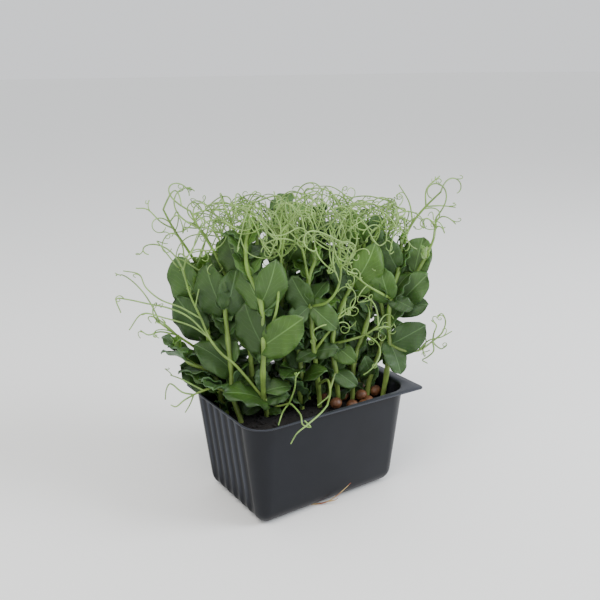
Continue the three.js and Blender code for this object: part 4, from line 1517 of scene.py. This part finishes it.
def make_medium():
    inset = WALL + MEDIUM_GAP
    walls = wall_rings(MEDIUM_HEIGHTS, inset)
    inner = [[[x * share, y * share, z] for x, y, z in walls[-1]] for share in MEDIUM_SHARES]
    bm = skin([*rounded_floor(inset), *walls, *inner])
    for vert in bm.verts:
        if vert.co.z > (MEDIUM_TOP - 0.5) * MM:
            roll = math.sin(vert.co.x * MEDIUM_WAVES[0]) * math.sin(vert.co.y * MEDIUM_WAVES[1] + 1)
            vert.co.z += (MEDIUM_ROLL * roll + draw(-0.3, 0.1)) * MM
    block = new_piece("coir_block", finished_mesh("coir block", bm), damp_coir())
    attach(block, "root")
    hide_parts("growing_medium")


def make_crumbs():
    bm = bmesh.new()
    for _ in range(CRUMBS):
        x, y = draw(*CRUMB_AREA[0]), draw(*CRUMB_AREA[1])
        spot = Vector((x, y, MEDIUM_TOP + draw(-0.3, 0.5))) * MM
        shape = Matrix.Translation(spot) @ Matrix.Rotation(draw(0, math.pi), 4, "Z")
        shape = shape @ Matrix.Diagonal((1, draw(0.5, 0.9), draw(0.4, 0.8), 1))
        bmesh.ops.create_icosphere(bm, subdivisions=1, radius=draw(*CRUMB_RADIUS) * MM, matrix=shape)
    for vert in bm.verts:
        vert.co += Vector((draw(-0.2, 0.2), draw(-0.2, 0.2), draw(-0.2, 0.2))) * MM
    crumbs = new_piece("coir_crumbs", finished_mesh("coir crumbs", bm), damp_coir(), smooth=False)
    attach(crumbs, "root")


make_medium()
make_crumbs()


# Peas: the seeds that the shoots grew from, half sunk in the medium, and some that never sprouted
# and lie on top of it. They are marrowfat peas in their dry brown coats, wrinkled where they dried.
LOOSE_PEAS = (
    (34.3, 7, 50.4), (37, 1, 50.4), (41.5, -3.2, 50.6), (44.6, -12.4, 50.8), (34.2, -12.3, 50.6),
    (25.2, -6.2, 50.4), (16.2, -12.2, 50.2),
)
SEED_SHAPE = (1, 0.94, 0.9, 1)
SEED_WRINKLE = 0.05  # the wrinkles' depth, as a share of the radius
SEED_WRINKLES = (1500, 1700, 1300)  # how close they lie, in radians per metre
SEED_BLOTCH = 3.125


def seed_coat():
    """Seed coat: dull brown and mottled, darker in its wrinkles, where the bump sinks: painted shade in
    them.
    """
    material, shader = new_material("pea seed coat")
    place = add_node(material, "ShaderNodeTexCoord", {}, {}).outputs["Object"]
    blotch = add_node(
        material,
        "ShaderNodeTexNoise",
        {},
        {"Vector": place, "Scale": pattern_scale(SEED_BLOTCH), "Detail": 4},
    )
    # The noise that dents the coat also sets its colour, so its darker brown is painted shade in the dents.
    tint = add_node(material, "ShaderNodeValToRGB", {}, {"Fac": blotch.outputs["Fac"]})
    tint.color_ramp.elements[0].position = 0.3
    tint.color_ramp.elements[0].color = colour("#4a2c1b")
    tint.color_ramp.elements[1].position = 0.7
    tint.color_ramp.elements[1].color = colour("#7e5334")
    wire(material, tint.outputs["Color"], shader.inputs["Base Color"])
    shader.inputs["Roughness"].default_value = 0.5
    bump = add_node(
        material,
        "ShaderNodeBump",
        {},
        {"Height": blotch.outputs["Fac"], "Strength": 0.6, "Distance": 0.4 * MM},
    )
    wire(material, bump.outputs["Normal"], shader.inputs["Normal"])
    return material


def make_seeds():
    bm = bmesh.new()
    loose = [(spot, draw(0, math.pi)) for spot in LOOSE_PEAS]
    for spot, turn in seeds + loose:
        middle = Vector(spot) * MM
        shape = Matrix.Translation(middle) @ Matrix.Rotation(turn, 4, "Z") @ Matrix.Diagonal(SEED_SHAPE)
        made = bmesh.ops.create_icosphere(bm, subdivisions=4, radius=SEED_RADIUS * MM, matrix=shape)
        for vert in made["verts"]:
            out = vert.co - middle
            dent = math.sin(out.x * SEED_WRINKLES[0] + turn * 9)
            dent *= math.sin(out.y * SEED_WRINKLES[1] + turn * 5)
            dent *= math.sin(out.z * SEED_WRINKLES[2])
            vert.co = middle + out * (1 - SEED_WRINKLE * abs(dent))
    peas = new_piece("peas", finished_mesh("peas", bm), seed_coat())
    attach(peas, "root")


make_seeds()


# Dry root: a wisp that came out through a drain hole, dried to straw, and sticks out from under the
# tray's front.
ROOT_LINES = (
    ((-14, -22, 0.7), (-7, -27, 0.8), (-2, -30, 2.2), (3, -31.6, 5), (8, -32.4, 8.2), (11.5, -32.8, 10.6)),
    ((-2, -30, 2.2), (-1, -31.2, 2.6), (1, -32, 2.8), (3, -32.4, 3.6)),
)
ROOT_RADIUS = (0.45, 0.15)
ROOT_BLOTCH = 3.85


def dry_root():
    """Dried root: straw-coloured and dull, with redder stretches."""
    material, shader = new_material("dry pea root")
    place = add_node(material, "ShaderNodeTexCoord", {}, {}).outputs["Object"]
    blotch = add_node(
        material,
        "ShaderNodeTexNoise",
        {},
        {"Vector": place, "Scale": pattern_scale(ROOT_BLOTCH), "Detail": 4},
    )
    tint = add_node(material, "ShaderNodeValToRGB", {}, {"Fac": blotch.outputs["Fac"]})
    tint.color_ramp.elements[0].position = 0.35
    tint.color_ramp.elements[0].color = colour("#8a4a33")
    tint.color_ramp.elements[1].position = 0.55
    tint.color_ramp.elements[1].color = colour("#b39a66")
    wire(material, tint.outputs["Color"], shader.inputs["Base Color"])
    shader.inputs["Roughness"].default_value = 0.8
    return material


root_lines = [smooth_line(line) for line in ROOT_LINES]
root_tubes = [(line, taper(line, ROOT_RADIUS)) for line in root_lines]
wisp = new_piece("dry_root", tubes_mesh("dry_root", root_tubes, 1), dry_root())
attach(wisp, "root")
